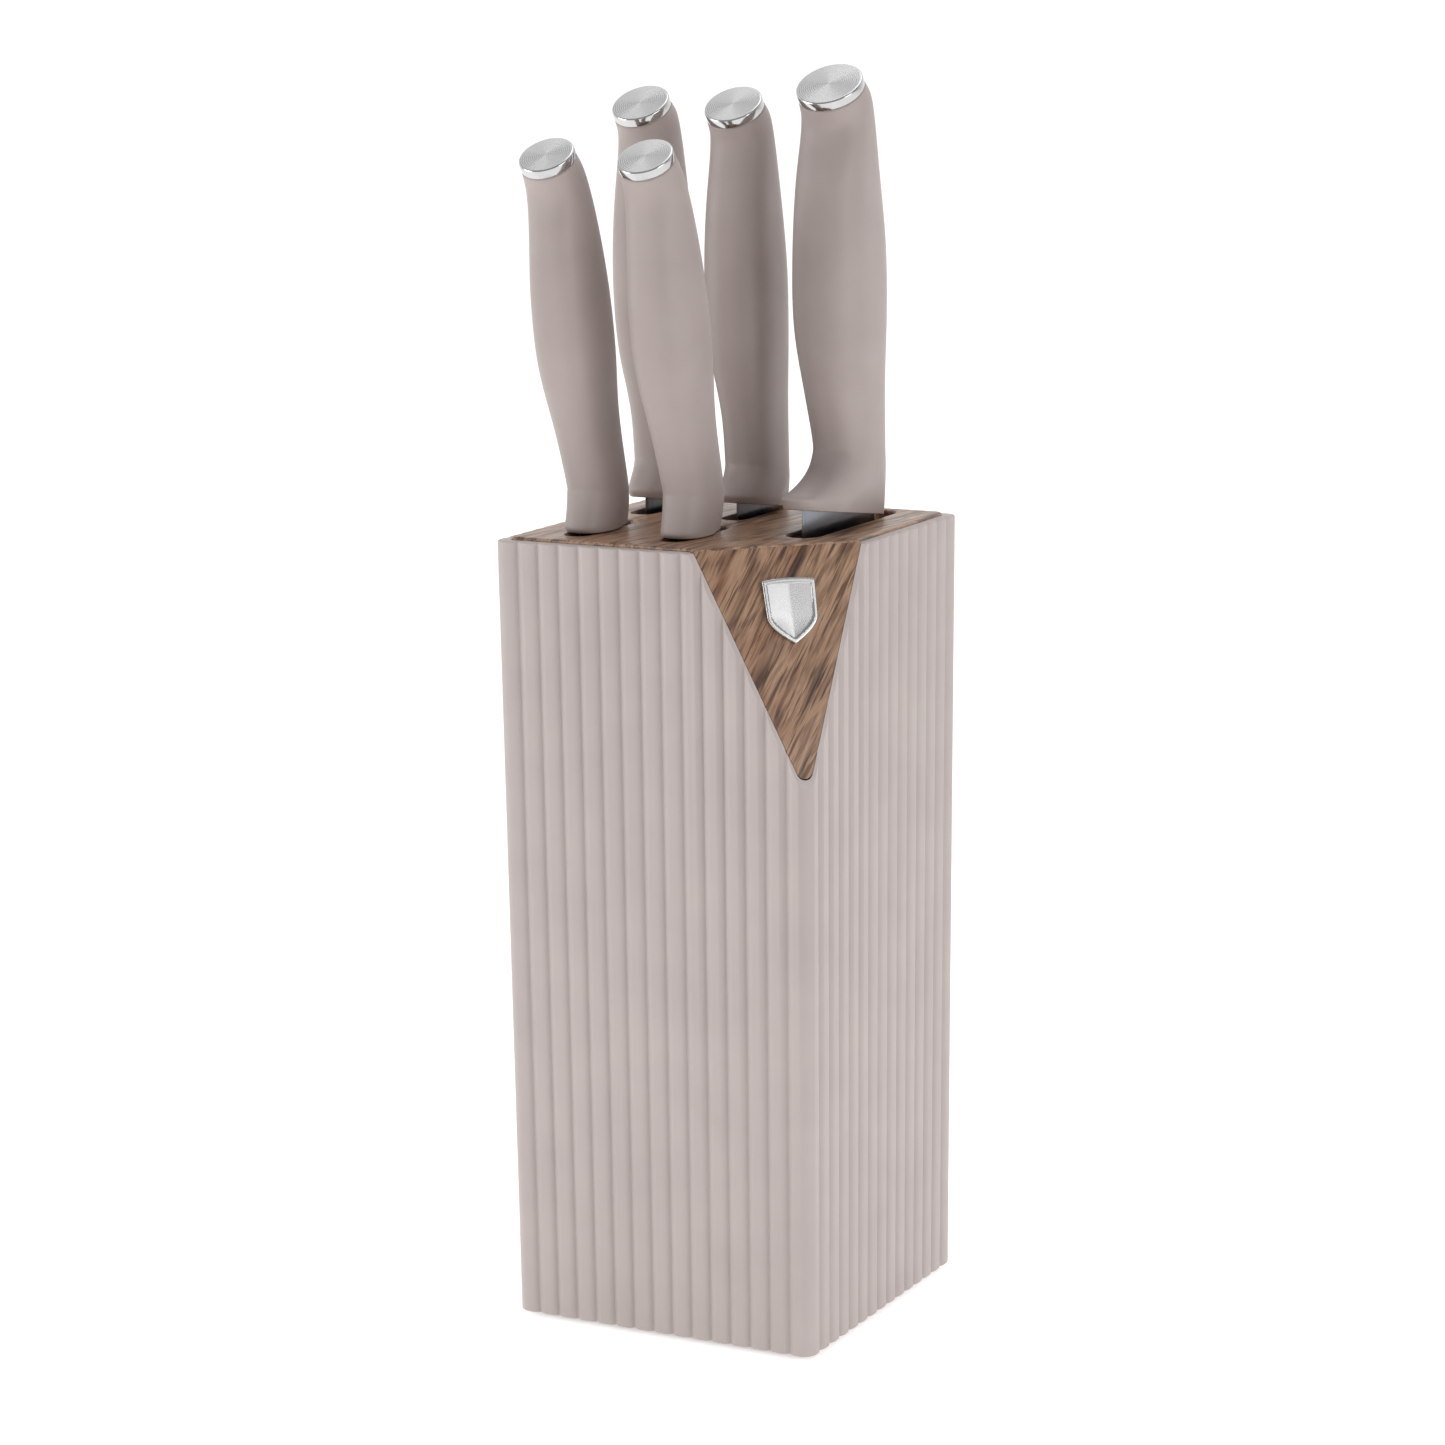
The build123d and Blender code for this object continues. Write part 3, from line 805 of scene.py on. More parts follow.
def rounded_box(
    name: str, low: float, high: float, half_low: float, half_high: float, radius: float
) -> bpy.types.Object:
    """Upright box with round corners, its sides tapered if the two half widths differ.

    Args:
        name: Name of the mesh.
        low: Height of its lower face.
        high: Height of its upper face.
        half_low: Half width below.
        half_high: Half width above.
        radius: Corner radius.

    Returns:
        The box as an object.
    """
    steps = 6
    rings: list[Ring] = []
    for z, half in ((low, half_low), (high, half_high)):
        reach = half - radius
        ring: Ring = []
        for quarter, (cx, cy) in enumerate(((1, -1), (1, 1), (-1, 1), (-1, -1))):
            for i in range(steps + 1):
                angle = math.pi / 2 * (quarter - 1 + i / steps)
                ring.append((cx * reach + radius * math.cos(angle), cy * reach + radius * math.sin(angle), z))
        rings.append(ring)
    return mesh_object(name, *loft(rings))


@dataclass
class Slot:
    """One blade slot: its middle in X, its ends in Y and its width."""

    x: float
    front: float
    back: float
    width: float

    def ring(self, z: float, grow: float) -> Ring:
        """Outline of the slot at a height.

        Args:
            z: Height in millimetres.
            grow: Growth all round.

        Returns:
            The ring, round the front end and then round the back end.
        """
        steps = 16
        radius = self.width / 2 + grow
        ring: Ring = []
        for centre, start in ((self.front + self.width / 2, math.pi), (self.back - self.width / 2, 0.0)):
            for i in range(steps + 1):
                angle = start + math.pi * i / steps
                ring.append((self.x + radius * math.cos(angle), centre + radius * math.sin(angle), z))
        return ring


@dataclass
class WoodTop:
    """Wood finished top with its sloping corner panel."""

    half: float = 49.0
    corner_radius: float = 2.5
    panel_thickness: float = 4.0
    border: float = 1.8
    tip_radius: float = 2.5
    edge_round: float = 0.8
    edge_segments: int = 4
    slot_round: float = 0.9
    round_steps: int = 5
    tip_steps: int = 8
    spare_slab: float = 6.0
    spare_panel: float = 9.0
    proud: float = 2.0

    def blank(self, name: str, clearance: float) -> bpy.types.Object:
        """Slab and panel in one, without slots.

        The slab and the panel start with spare height and thickness, so that the two trimming
        planes give the finished piece its exact faces.

        Args:
            name: Name of the mesh.
            clearance: Growth all round.

        Returns:
            The blank as an object.
        """
        half = self.half + clearance
        slab = rounded_box(name, SLAB_BOTTOM - clearance, SLAB_TOP + self.spare_slab, half, half, self.corner_radius)
        lean = math.atan2(FACET.slope_length, FACET.half_top)
        border = self.border - clearance
        low = -FACET.slope_length + border / math.cos(lean)
        half_above = (self.spare_panel - low) / math.tan(lean)
        turn = math.pi / 2 - lean
        centre = low + self.tip_radius / math.sin(turn)
        outline = [(half_above, self.spare_panel), (-half_above, self.spare_panel)]
        for i in range(self.tip_steps + 1):
            angle = math.pi + turn + (math.pi - 2 * turn) * i / self.tip_steps
            outline.append((self.tip_radius * math.cos(angle), centre + self.tip_radius * math.sin(angle)))
        rings: list[Ring] = []
        for depth in (-self.panel_thickness - clearance, self.proud):
            rings.append([FACET.place(x, y, depth) for x, y in outline])
        panel = mesh_object(name + "_panel", *loft(rings))
        cut(slab, panel, "UNION")
        if clearance == 0:
            slice_off(slab, Vector((0, 0, SLAB_TOP)), Vector((0, 0, 1)))
            slice_off(slab, FACET.middle, FACET.normal)
        return slab

    def build(self, slots: Sequence[Slot]) -> bpy.types.Object:
        """Round the edges of the blank and cut the slots with rounded rims.

        Args:
            slots: Blade slots.

        Returns:
            The wood finished top.
        """
        top = self.blank("wood_top_and_panel", 0.0)
        clean(top, 35.0)
        work = bmesh.new()
        work.from_mesh(top.data)
        bmesh.ops.dissolve_limit(work, angle_limit=math.radians(1), verts=work.verts, edges=work.edges)
        level = SLAB_TOP * MM - 1e-6
        rim = [e for e in work.edges if all(v.co.z > level for v in e.verts)]
        bmesh.ops.bevel(
            work,
            geom=rim,
            offset=self.edge_round * MM,
            segments=self.edge_segments,
            profile=0.5,
            affect="EDGES",
            clamp_overlap=True,
        )
        work.to_mesh(top.data)
        work.free()
        for number, slot in enumerate(slots):
            rings = [slot.ring(SLAB_BOTTOM - 1, 0.0)]
            for i in range(self.round_steps + 1):
                angle = math.pi / 2 * i / self.round_steps
                z = SLAB_TOP - self.slot_round * (1 - math.sin(angle))
                rings.append(slot.ring(z, self.slot_round * (1 - math.cos(angle))))
            rings.append(slot.ring(SLAB_TOP + 1, self.slot_round))
            cut(top, mesh_object(f"slot_tool_{number}", *loft(rings)))
        clean(top, 35.0)
        return top

    def lay_films(self, top: bpy.types.Object) -> None:
        """Give the sloping panel its own film, with the grain in its own direction.

        Args:
            top: The dressed wood top.
        """
        for face in top.data.polygons:
            on_panel = face.normal.dot(FACET.normal) > 0.9 or face.center.z < (SLAB_BOTTOM - 1) * MM
            face.material_index = 1 if on_panel else 0


@dataclass
class Badge:
    """Plain shield of bright metal with a raised rim and a shallow valley down its middle."""

    across: float = 1.5
    down: float = 19.1
    half_width: float = 8.1
    top: float = 9.4
    crown: float = 0.7
    bottom: float = -9.6
    plate: float = 1.4
    rim_width: float = 1.1
    rim_height: float = 0.55
    rim_slope: float = 0.35
    edge_round: float = 0.3
    valley: float = 0.25
    side_taper: float = 0.08
    point_start: float = 0.58
    point_power: float = 1.75
    columns: int = 56
    rows: int = 72

    def half_at(self, v: float) -> float:
        """Half width at a share of the height: nearly straight sides, then a drawn-in point.

        Args:
            v: 0 at the top and 1 at the point.

        Returns:
            Half width in millimetres.
        """
        sides = self.half_width * (1 - self.side_taper * v)
        if v < self.point_start:
            return sides
        t = (v - self.point_start) / (1 - self.point_start)
        return sides * max(1 - t**self.point_power, 0.0)

    def build(self) -> bpy.types.Object:
        """Raise the front of the shield over its outline and close it at the back.

        Returns:
            The badge.
        """
        edge: list[Vector] = []
        for i in range(self.rows + 1):
            v = i / self.rows
            edge.append(Vector((self.half_at(v), self.top - v * (self.top - self.bottom))))
        front: list[Point] = []
        back: list[Point] = []
        for row in range(self.rows + 1):
            v = row / self.rows
            half = max(self.half_at(v), 0.02)
            for column in range(self.columns + 1):
                u = -math.cos(math.pi * column / self.columns)
                x = u * half
                arch = self.crown * (1 - u * u) * (1 - v) ** 2
                y = self.top - v * (self.top - self.bottom) + arch
                from_side = min((Vector((abs(x), y)) - spot).length for spot in edge)
                from_top = (self.top + arch) - y if v > 0 else 0.0
                distance = min(from_side, from_top) if v < 1 else 0.0
                t = min(max((distance - self.rim_width) / self.rim_slope, 0.0), 1.0)
                wall = 1 - t * t * (3 - 2 * t)
                edge_drop = self.edge_round * (1 - min(distance / self.rim_slope, 1.0)) ** 2
                height = self.plate + self.rim_height * wall - edge_drop
                height -= self.valley * (1 - abs(u)) * (1 - wall)
                front.append(self.spot(x, y, height))
                back.append(self.spot(x, y, 0.0))
        count = self.columns + 1
        faces: list[list[int]] = []
        offset = len(front)
        for row in range(self.rows):
            for column in range(self.columns):
                a = row * count + column
                faces.append([a, a + count, a + count + 1, a + 1])
                faces.append([offset + a, offset + a + 1, offset + a + count + 1, offset + a + count])
        rim = list(range(count))
        rim += [row * count + self.columns for row in range(1, self.rows + 1)]
        rim += [self.rows * count + column for column in range(self.columns - 1, -1, -1)]
        rim += [row * count for row in range(self.rows - 1, 0, -1)]
        for a, b in zip(rim, rim[1:] + rim[:1]):
            faces.append([a, b, offset + b, offset + a])
        return mesh_object("shield_badge", front + back, faces, 32.0)

    def spot(self, x: float, y: float, z: float) -> Point:
        """Point of the badge, carried onto the facet."""
        return FACET.place(x + self.across, y - self.down, z)


# ---------------------------------------------------------------- knives


@dataclass
class Rung:
    """One cross-section of a grip, spanned between its front and back points in the YZ plane."""

    front: tuple[float, float]
    back: tuple[float, float]
    half_thickness: float
    squareness: float = 2.7

    def row(self) -> list[float]:
        """Its numbers, for the smooth curve."""
        return [*self.front, *self.back, self.half_thickness, self.squareness]


@dataclass
class GripShape:
    """Outer shape of a grip, in heights above the rim and distances along Y from the foot.

    Each station holds its height, its offset along Y, its half thickness and its half width.
    """

    stations: list[tuple[float, float, float, float]]
    cap_offset: float
    cap_height: float
    cap_radius: float
    foot_slope: float
    guard_rise: float
    guard_slope: float
    flat: float
    flat_up: float
    flat_back: float
    nose_height: float


SMALL = GripShape(
    stations=[
        (14.0, -0.2, 7.3, 11.5),
        (34.0, -6.1, 7.9, 11.6),
        (54.0, -11.5, 9.7, 13.5),
        (74.0, -15.1, 9.7, 13.3),
        (94.0, -18.5, 8.6, 11.1),
    ],
    cap_offset=-25.9,
    cap_height=112.1,
    cap_radius=8.4,
    foot_slope=0.0,
    guard_rise=15.0,
    guard_slope=68.0,
    flat=3.2,
    flat_up=0.22,
    flat_back=0.3,
    nose_height=2.0,
)
LARGE = GripShape(
    stations=[
        (14.0, 0.6, 8.1, 12.2),
        (34.0, -0.7, 8.4, 12.8),
        (54.0, -4.3, 10.6, 13.7),
        (76.0, -5.8, 11.1, 13.8),
        (98.0, -6.8, 10.0, 12.2),
    ],
    cap_offset=-11.6,
    cap_height=124.1,
    cap_radius=9.0,
    foot_slope=8.5,
    guard_rise=18.0,
    guard_slope=68.0,
    flat=3.6,
    flat_up=0.22,
    flat_back=0.26,
    nose_height=3.0,
)
CHEF = GripShape(
    stations=[
        (22.0, -1.1, 9.4, 12.8),
        (42.0, -3.9, 10.3, 14.45),
        (62.0, -6.8, 12.1, 16.0),
        (84.0, -7.2, 12.1, 16.0),
        (106.0, -8.0, 10.9, 13.9),
    ],
    cap_offset=-11.9,
    cap_height=130.6,
    cap_radius=10.2,
    foot_slope=8.5,
    guard_rise=26.0,
    guard_slope=12.0,
    flat=5.0,
    flat_up=0.22,
    flat_back=0.06,
    nose_height=4.2,
)


@dataclass
class KnifePiece:
    """One knife: its place, blade and grip."""

    name: str
    shape: GripShape
    x: float
    foot_y: float
    slot: Slot
    heel: float
    spine: float
    length: float
    thickness: float
    belly: float
    tip_drop: float
    reach: float
    teeth: int = 0
    seat_gap: float = 0.3
    spine_lip: float = 0.8
    tilt: float = math.radians(33.0)
    points_round: int = 96
    steps_between: int = 7
    smoothing: int = 4
    crease_softness: float = 0.5
    foot_round: float = 0.55
    end_round: float = 0.35
    core_inset: float = 2.4
    cap_sides: int = 96
    tang_half_width: float = 5.0
    tooth_margin: float = 8.0
    tooth_share: float = 0.25
    curve_start: float = 0.8

    def foot_z(self, y: float) -> float:
        """Height of the grip's lower end at a place along Y."""
        slope = math.tan(math.radians(self.shape.foot_slope))
        return SLAB_TOP + self.seat_gap + (self.spine + self.spine_lip - y) * slope

    def rungs(self) -> list[Rung]:
        """Cross-sections from the foot, over the guard and up to the end cap.

        Returns:
            The rungs in order.
        """
        shape = self.shape
        tip_y = self.heel - self.reach
        tip_z = self.foot_z(self.heel) + shape.nose_height
        back_y = self.spine + self.spine_lip
        height, offset, thick, wide = shape.stations[0]
        neck = (self.foot_y + offset - wide, RIM + shape.guard_rise)
        pull = math.dist(neck, (tip_y, tip_z))
        slope = math.radians(shape.guard_slope)
        first_back = (self.foot_y + offset + wide, RIM + height)
        found = [
            Rung((tip_y + 1.0, self.foot_z(tip_y + 1.0)), (back_y, self.foot_z(back_y)), thick - 0.5),
            Rung(
                (tip_y + 0.1, self.foot_z(tip_y) + 0.45 * shape.nose_height),
                (back_y, self.foot_z(back_y) + 0.8),
                thick - 0.4,
            ),
            Rung((tip_y, tip_z), (back_y, self.foot_z(back_y) + 2.0), thick - 0.3),
        ]
        for i in range(1, 6):
            t = i / 6
            h0, h1 = 2 * t**3 - 3 * t**2 + 1, -2 * t**3 + 3 * t**2
            m0, m1 = t**3 - 2 * t**2 + t, t**3 - t**2
            y = h0 * tip_y + h1 * neck[0] + m0 * math.cos(slope) * pull
            z = h0 * tip_z + h1 * neck[1] + (m0 * math.sin(slope) + m1) * pull
            share = t**1.2
            low = self.foot_z(back_y) + 2.0
            back = (back_y + (first_back[0] - back_y) * share, low + (first_back[1] - low) * share)
            found.append(Rung((y, z), back, thick - 0.3 * (1 - t)))
        for index, (height, offset, thick, wide) in enumerate(shape.stations):
            below = shape.stations[max(index - 1, 0)]
            above = (shape.cap_height, shape.cap_offset)
            if index + 1 < len(shape.stations):
                above = shape.stations[index + 1][:2]
            lean = math.atan2(below[1] - above[1], above[0] - below[0]) if index else 0.0
            middle = (self.foot_y + offset, RIM + height)
            step = (wide * math.cos(lean), wide * math.sin(lean))
            front, back = (middle[0] - step[0], middle[1] - step[1]), (middle[0] + step[0], middle[1] + step[1])
            if index == 0:
                front = (neck[0], max(neck[1], middle[1]))
            found.append(Rung(front, back, thick))
        radius = shape.cap_radius
        reach = (radius * math.cos(self.tilt), radius * math.sin(self.tilt))
        middle = (self.foot_y + shape.cap_offset, RIM + shape.cap_height)
        out = (math.sin(self.tilt), -math.cos(self.tilt))
        for back_off, square in ((7.0, 2.25), (0.0, 2.0)):
            y, z = middle[0] + out[0] * back_off, middle[1] + out[1] * back_off
            grow = 1 + back_off * 0.008
            found.append(
                Rung(
                    (y - reach[0] * grow, z - reach[1] * grow),
                    (y + reach[0] * grow, z + reach[1] * grow),
                    radius * (1 + back_off * 0.006),
                    square,
                )
            )
        return found

    def ring(self, row: Sequence[float], shrink: float = 0.0) -> Ring:
        """Points of one cross-section, flattened by the bolster's sides.

        Args:
            row: Front point, back point, half thickness and squareness.
            shrink: Distance by which the section is drawn in.

        Returns:
            The ring.
        """
        front, back = Vector(row[0:2]), Vector(row[2:4])
        middle, reach = (front + back) / 2, (back - front) / 2
        reach = reach * (1 - shrink / max(reach.length, 1e-6))
        thick, power = row[4] - shrink, 2.0 / row[5]
        ring: Ring = []
        for i in range(self.points_round):
            angle = 2 * math.pi * i / self.points_round
            c, s = math.cos(angle), math.sin(angle)
            across = math.copysign(abs(s) ** power, s) * thick
            spot = middle + reach * math.copysign(abs(c) ** power, c)
            limit = (
                self.shape.flat
                - shrink
                + self.shape.flat_up * (spot.y - SLAB_TOP)
                + self.shape.flat_back * (self.spine - spot.x)
            )
            across = math.copysign(soft_limit(abs(across), limit, self.crease_softness), across)
            ring.append((self.x + across, spot.x, spot.y))
        return ring

    def build_grip(self) -> bpy.types.Object:
        """Soft grip with its guard, flat bolster sides and rounded foot.

        Returns:
            The grip.
        """
        rows = smooth_curve([rung.row() for rung in self.rungs()], self.steps_between)
        for _ in range(self.smoothing):
            inner = [
                [(a + 2 * b + c) / 4 for a, b, c in zip(before, row, after)]
                for before, row, after in zip(rows, rows[1:], rows[2:])
            ]
            rows = [rows[0], *inner, rows[-1]]
        rings = [self.ring(row) for row in rows]
        rings[0] = self.ring(rows[0], self.foot_round)
        last = rows[-1]
        sunk = list(last)
        for i in (0, 2):
            sunk[i] += math.sin(self.tilt) * self.end_round
            sunk[i + 1] -= math.cos(self.tilt) * self.end_round
        rings[-1] = self.ring(sunk)
        rings.append(self.ring(last, self.end_round))
        return mesh_object(f"{self.name}_handle", *loft(rings), 38.0)

    def build_core(self) -> bpy.types.Object:
        """Hard core inside the grip, from above the bolster to under the end cap.

        Returns:
            The core.
        """
        above_guard = [rung.row() for rung in self.rungs()[8:]]
        rows = smooth_curve(above_guard, self.steps_between)[: -self.steps_between]
        rings = [self.ring(row, self.core_inset) for row in rows]
        return mesh_object(f"{self.name}_handle_core", *loft(rings), 38.0)

    def edge_at(self, z: float) -> float:
        """Cutting edge of the blade: straight or toothed, then an arc up to the point.

        Args:
            z: Height in millimetres.

        Returns:
            Place along Y.
        """
        start, tip = SLAB_TOP - self.belly * self.length, SLAB_TOP - self.length
        if z >= start:
            if not self.teeth:
                return self.heel
            pitch = (self.belly * self.length - self.tooth_margin) / self.teeth
            along = (SLAB_TOP - self.tooth_margin - z) / pitch
            if along < 0 or along > self.teeth:
                return self.heel
            bite = 1 - (2 * (along % 1) - 1) ** 2
            return self.heel + self.tooth_share * pitch * bite
        span, drop = start - tip, self.spine - self.tip_drop - self.heel
        radius = (span * span + drop * drop) / (2 * drop)
        return self.heel + radius - math.sqrt(max(radius * radius - (start - z) ** 2, 0.0))

    def spine_at(self, z: float) -> float:
        """Spine of the blade: straight, then an arc that drops to the point.

        Args:
            z: Height in millimetres.

        Returns:
            Place along Y.
        """
        start, tip = SLAB_TOP - self.curve_start * self.length, SLAB_TOP - self.length
        if z >= start:
            return self.spine
        span = start - tip
        radius = (span * span + self.tip_drop**2) / (2 * self.tip_drop)
        return self.spine - radius + math.sqrt(max(radius * radius - (start - z) ** 2, 0.0))

    def build_blade(self) -> bpy.types.Object:
        """Blade with a wedge grind, a keen edge and its tang.

        Returns:
            The blade.
        """
        half = self.thickness / 2
        count = 420 if self.teeth else 120
        tip = SLAB_TOP - self.length
        root_heel, root_spine = self.foot_z(self.heel) + 1.6, self.foot_z(self.spine) + 1.6
        rings: list[Ring] = []
        for i in range(count + 1):
            t = 1 - (1 - i / count) ** 1.6 if not self.teeth else i / count
            z_base = tip + (SLAB_TOP - tip) * t
            edge, spine = self.edge_at(z_base), self.spine_at(z_base)
            if i == 0:
                edge, spine = self.spine_at(tip) - 0.15, self.spine_at(tip) + 0.15
            rings.append(self.blade_ring(edge, spine, half, z_base, z_base))
        for share in (0.5, 1.0):
            z_heel = SLAB_TOP + (root_heel - SLAB_TOP) * share
            z_spine = SLAB_TOP + (root_spine - SLAB_TOP) * share
            rings.append(self.blade_ring(self.heel, self.spine, half, z_heel, z_spine))
        middle = self.foot_y + self.shape.stations[0][1]
        for height in (self.foot_z(middle) + 3.0, RIM + self.shape.stations[0][0]):
            rings.append(self.tang_ring(middle, half, height))
        for height, offset, _, _ in self.shape.stations[1:]:
            rings.append(self.tang_ring(self.foot_y + offset, half, RIM + height))
        return mesh_object(f"{self.name}_steel_blade", *loft(rings), 18.0)

    def tang_ring(self, middle: float, half: float, z: float) -> Ring:
        """Cross-section of the tang."""
        return self.blade_ring(middle - self.tang_half_width, middle + self.tang_half_width, half, z, z, keen=False)

    def blade_ring(
        self, edge: float, spine: float, half: float, z_edge: float, z_spine: float, keen: bool = True
    ) -> Ring:
        """Cross-section of the blade: broken corners at the spine, wedge flanks and a small edge bevel.

        Args:
            edge: Y of the cutting edge.
            spine: Y of the spine.
            half: Half the thickness at the spine.
            z_edge: Height at the edge.
            z_spine: Height at the spine.
            keen: False for the tang, which stays full thickness.

        Returns:
            The ring.
        """
        width = spine - edge
        bevel = min(1.4, width * 0.3)
        grind = min(13.0, width * 0.55)
        flank = [(0.0, 0.08), (bevel, 0.32 * half + 0.1), (grind, half)]
        if not keen:
            flank = [(0.0, half - 0.2), (0.25, half), (width * 0.5, half)]
        flank += [(width - 0.25, half), (width, half - 0.2)]
        right = [(self.x + a, edge + w, z_edge + (z_spine - z_edge) * w / max(width, 1e-6)) for w, a in flank]
        left = [(2 * self.x - p[0], p[1], p[2]) for p in reversed(right)]
        return right + left

    def build_cap(self) -> bpy.types.Object:
        """Spun end cap in its own frame, its axis along Z, with its spigot.

        Returns:
            The end cap, tilted into place.
        """
        r = self.shape.cap_radius
        spigot = [(0.0, -7.0), (3.6, -7.0), (4.0, -6.6), (4.0, 0.0)]
        rim = [(r - 0.35, 0.0), (r - 0.1, 0.1), (r, 0.35), (r, 2.45), (r - 0.06, 2.68), (r - 0.2, 2.86)]
        profile = [*spigot, *rim, (r - 0.42, 2.97), (r - 0.7, 3.0), (0.0, 3.0)]
        sides = self.cap_sides
        points: list[Point] = [(0.0, 0.0, profile[0][1])]
        for radius, z in profile[1:-1]:
            for i in range(sides):
                angle = 2 * math.pi * i / sides
                points.append((radius * math.cos(angle), radius * math.sin(angle), z))
        points.append((0.0, 0.0, profile[-1][1]))
        faces: list[list[int]] = []
        for level in range(len(profile) - 3):
            base = 1 + level * sides
            for i in range(sides):
                j = (i + 1) % sides
                faces.append([base + i, base + j, base + sides + j, base + sides + i])
        top = 1 + (len(profile) - 3) * sides
        for i in range(sides):
            j = (i + 1) % sides
            faces.append([0, 1 + j, 1 + i])
            faces.append([top + i, top + j, len(points) - 1])
        place = Vector((self.x, self.foot_y + self.shape.cap_offset, RIM + self.shape.cap_height)) * MM
        placed = Matrix.Translation(place) @ Matrix.Rotation(self.tilt, 4, "X")
        return mesh_object(f"{self.name}_cap", points, faces, 50.0, placed)

    def assemble(self) -> None:
        """Build, dress and seat the grip, blade and end cap."""
        body = f"{self.name}_knife"
        grip = self.build_grip()
        dress_piece(grip, "grip_soft_touch", SOFT_TOUCH)
        seat(grip, body, f"{self.name}_grip")
        core = self.build_core()
        dress_piece(core, "core_plastic", CORE_NYLON)
        seat(core, body, f"{self.name}_core")
        blade = self.build_blade()
        dress_piece(blade, "blade_steel", BLADE_STEEL)
        seat(blade, body, f"{self.name}_blade")
        cap = self.build_cap()
        dress_piece(cap, "cap_steel", CAP_STEEL, CAP_EDGE_STEEL)
        for face in cap.data.polygons:
            face.material_index = 0 if face.normal.z > 0.9 else 1
        seat(cap, body, f"{self.name}_end_cap")


KNIVES = [
    KnifePiece(
        name="chef",
        shape=CHEF,
        x=31.0,
        foot_y=20.5,
        slot=Slot(x=31.0, front=-17.0, back=45.0, width=10.6),
        heel=-13.0,
        spine=34.5,
        length=200.0,
        thickness=2.4,
        belly=0.35,
        tip_drop=4.0,
        reach=5.0,
    ),
    KnifePiece(
        name="bread",
        shape=LARGE,
        x=-3.8,
        foot_y=25.5,
        slot=Slot(x=-3.8, front=7.0, back=45.0, width=7.4),
        heel=12.0,
        spine=39.0,
        length=198.0,
        thickness=2.0,
        belly=0.85,
        tip_drop=6.0,
        reach=3.5,
        teeth=24,
    ),
    KnifePiece(
        name="slicer",
        shape=LARGE,
        x=-35.6,
        foot_y=25.5,
        slot=Slot(x=-35.6, front=7.0, back=45.0, width=7.4),
        heel=12.0,
        spine=39.0,
        length=200.0,
        thickness=2.0,
        belly=0.6,
        tip_drop=4.0,
        reach=3.5,
    ),
    KnifePiece(
        name="utility",
        shape=SMALL,
        x=-31.9,
        foot_y=-24.3,
        slot=Slot(x=-31.9, front=-40.5, back=-5.0, width=7.4),
        heel=-36.0,
        spine=-12.5,
        length=130.0,
        thickness=1.8,
        belly=0.5,
        tip_drop=4.0,
        reach=2.5,
    ),
    KnifePiece(
        name="paring",
        shape=SMALL,
        x=0.0,
        foot_y=-22.9,
        slot=Slot(x=0.0, front=-39.0, back=-5.0, width=7.4),
        heel=-33.5,
        spine=-12.5,
        length=90.0,
        thickness=1.6,
        belly=0.4,
        tip_drop=3.0,
        reach=3.5,
    ),
]


@dataclass
class Block:
    """The block: casing, wood top, badge, and the plain inner pieces that keep their frame shape."""

    casing: Casing = field(default_factory=Casing)
    wood_top: WoodTop = field(default_factory=WoodTop)
    badge: Badge = field(default_factory=Badge)

    def assemble(self) -> None:
        """Build, dress and seat the visible pieces, and dress the inner ones."""
        casing = self.casing.build()
        dress_piece(casing, "shell_abs", CASING_ABS)
        seat(casing, "block", "outer_shell")
        top = self.wood_top.build([knife.slot for knife in KNIVES])
        dress_piece(top, "wood_finish", WALNUT_TOP, WALNUT_FACET)
        self.wood_top.lay_films(top)
        seat(top, "block", "wood_top")
        badge = self.badge.build()
        dress_piece(badge, "badge_metal", BADGE_ZINC)
        seat(badge, "block", "badge")
        self.dress_inner_pieces()

    def dress_inner_pieces(self) -> None:
        """Give each node that is still shown the finish of its real material."""
        finishes: dict[str, Finish] = {
            "sleeve": BLACK_PP,
            "base_plate": BLACK_PP,
            "foot_": FOOT_RUBBER,
            "screws": SCREW_ZINC,
            "nuts": SCREW_ZINC,
        }
        for name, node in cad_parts.items():
            finish = next((f for key, f in finishes.items() if key in name), None)
            if finish is None:
                continue
            for slot in node.material_slots:
                slot.material = finish.material()
            log.info("%-22s keeps its shape, %s", name, finish.title)


# ---------------------------------------------------------------- studio


@dataclass(frozen=True)
class Softbox:
    """Square soft light: its place and side length in metres, and its power in watts."""

    name: str
    at: tuple[float, float, float]
    size: float
    power: float


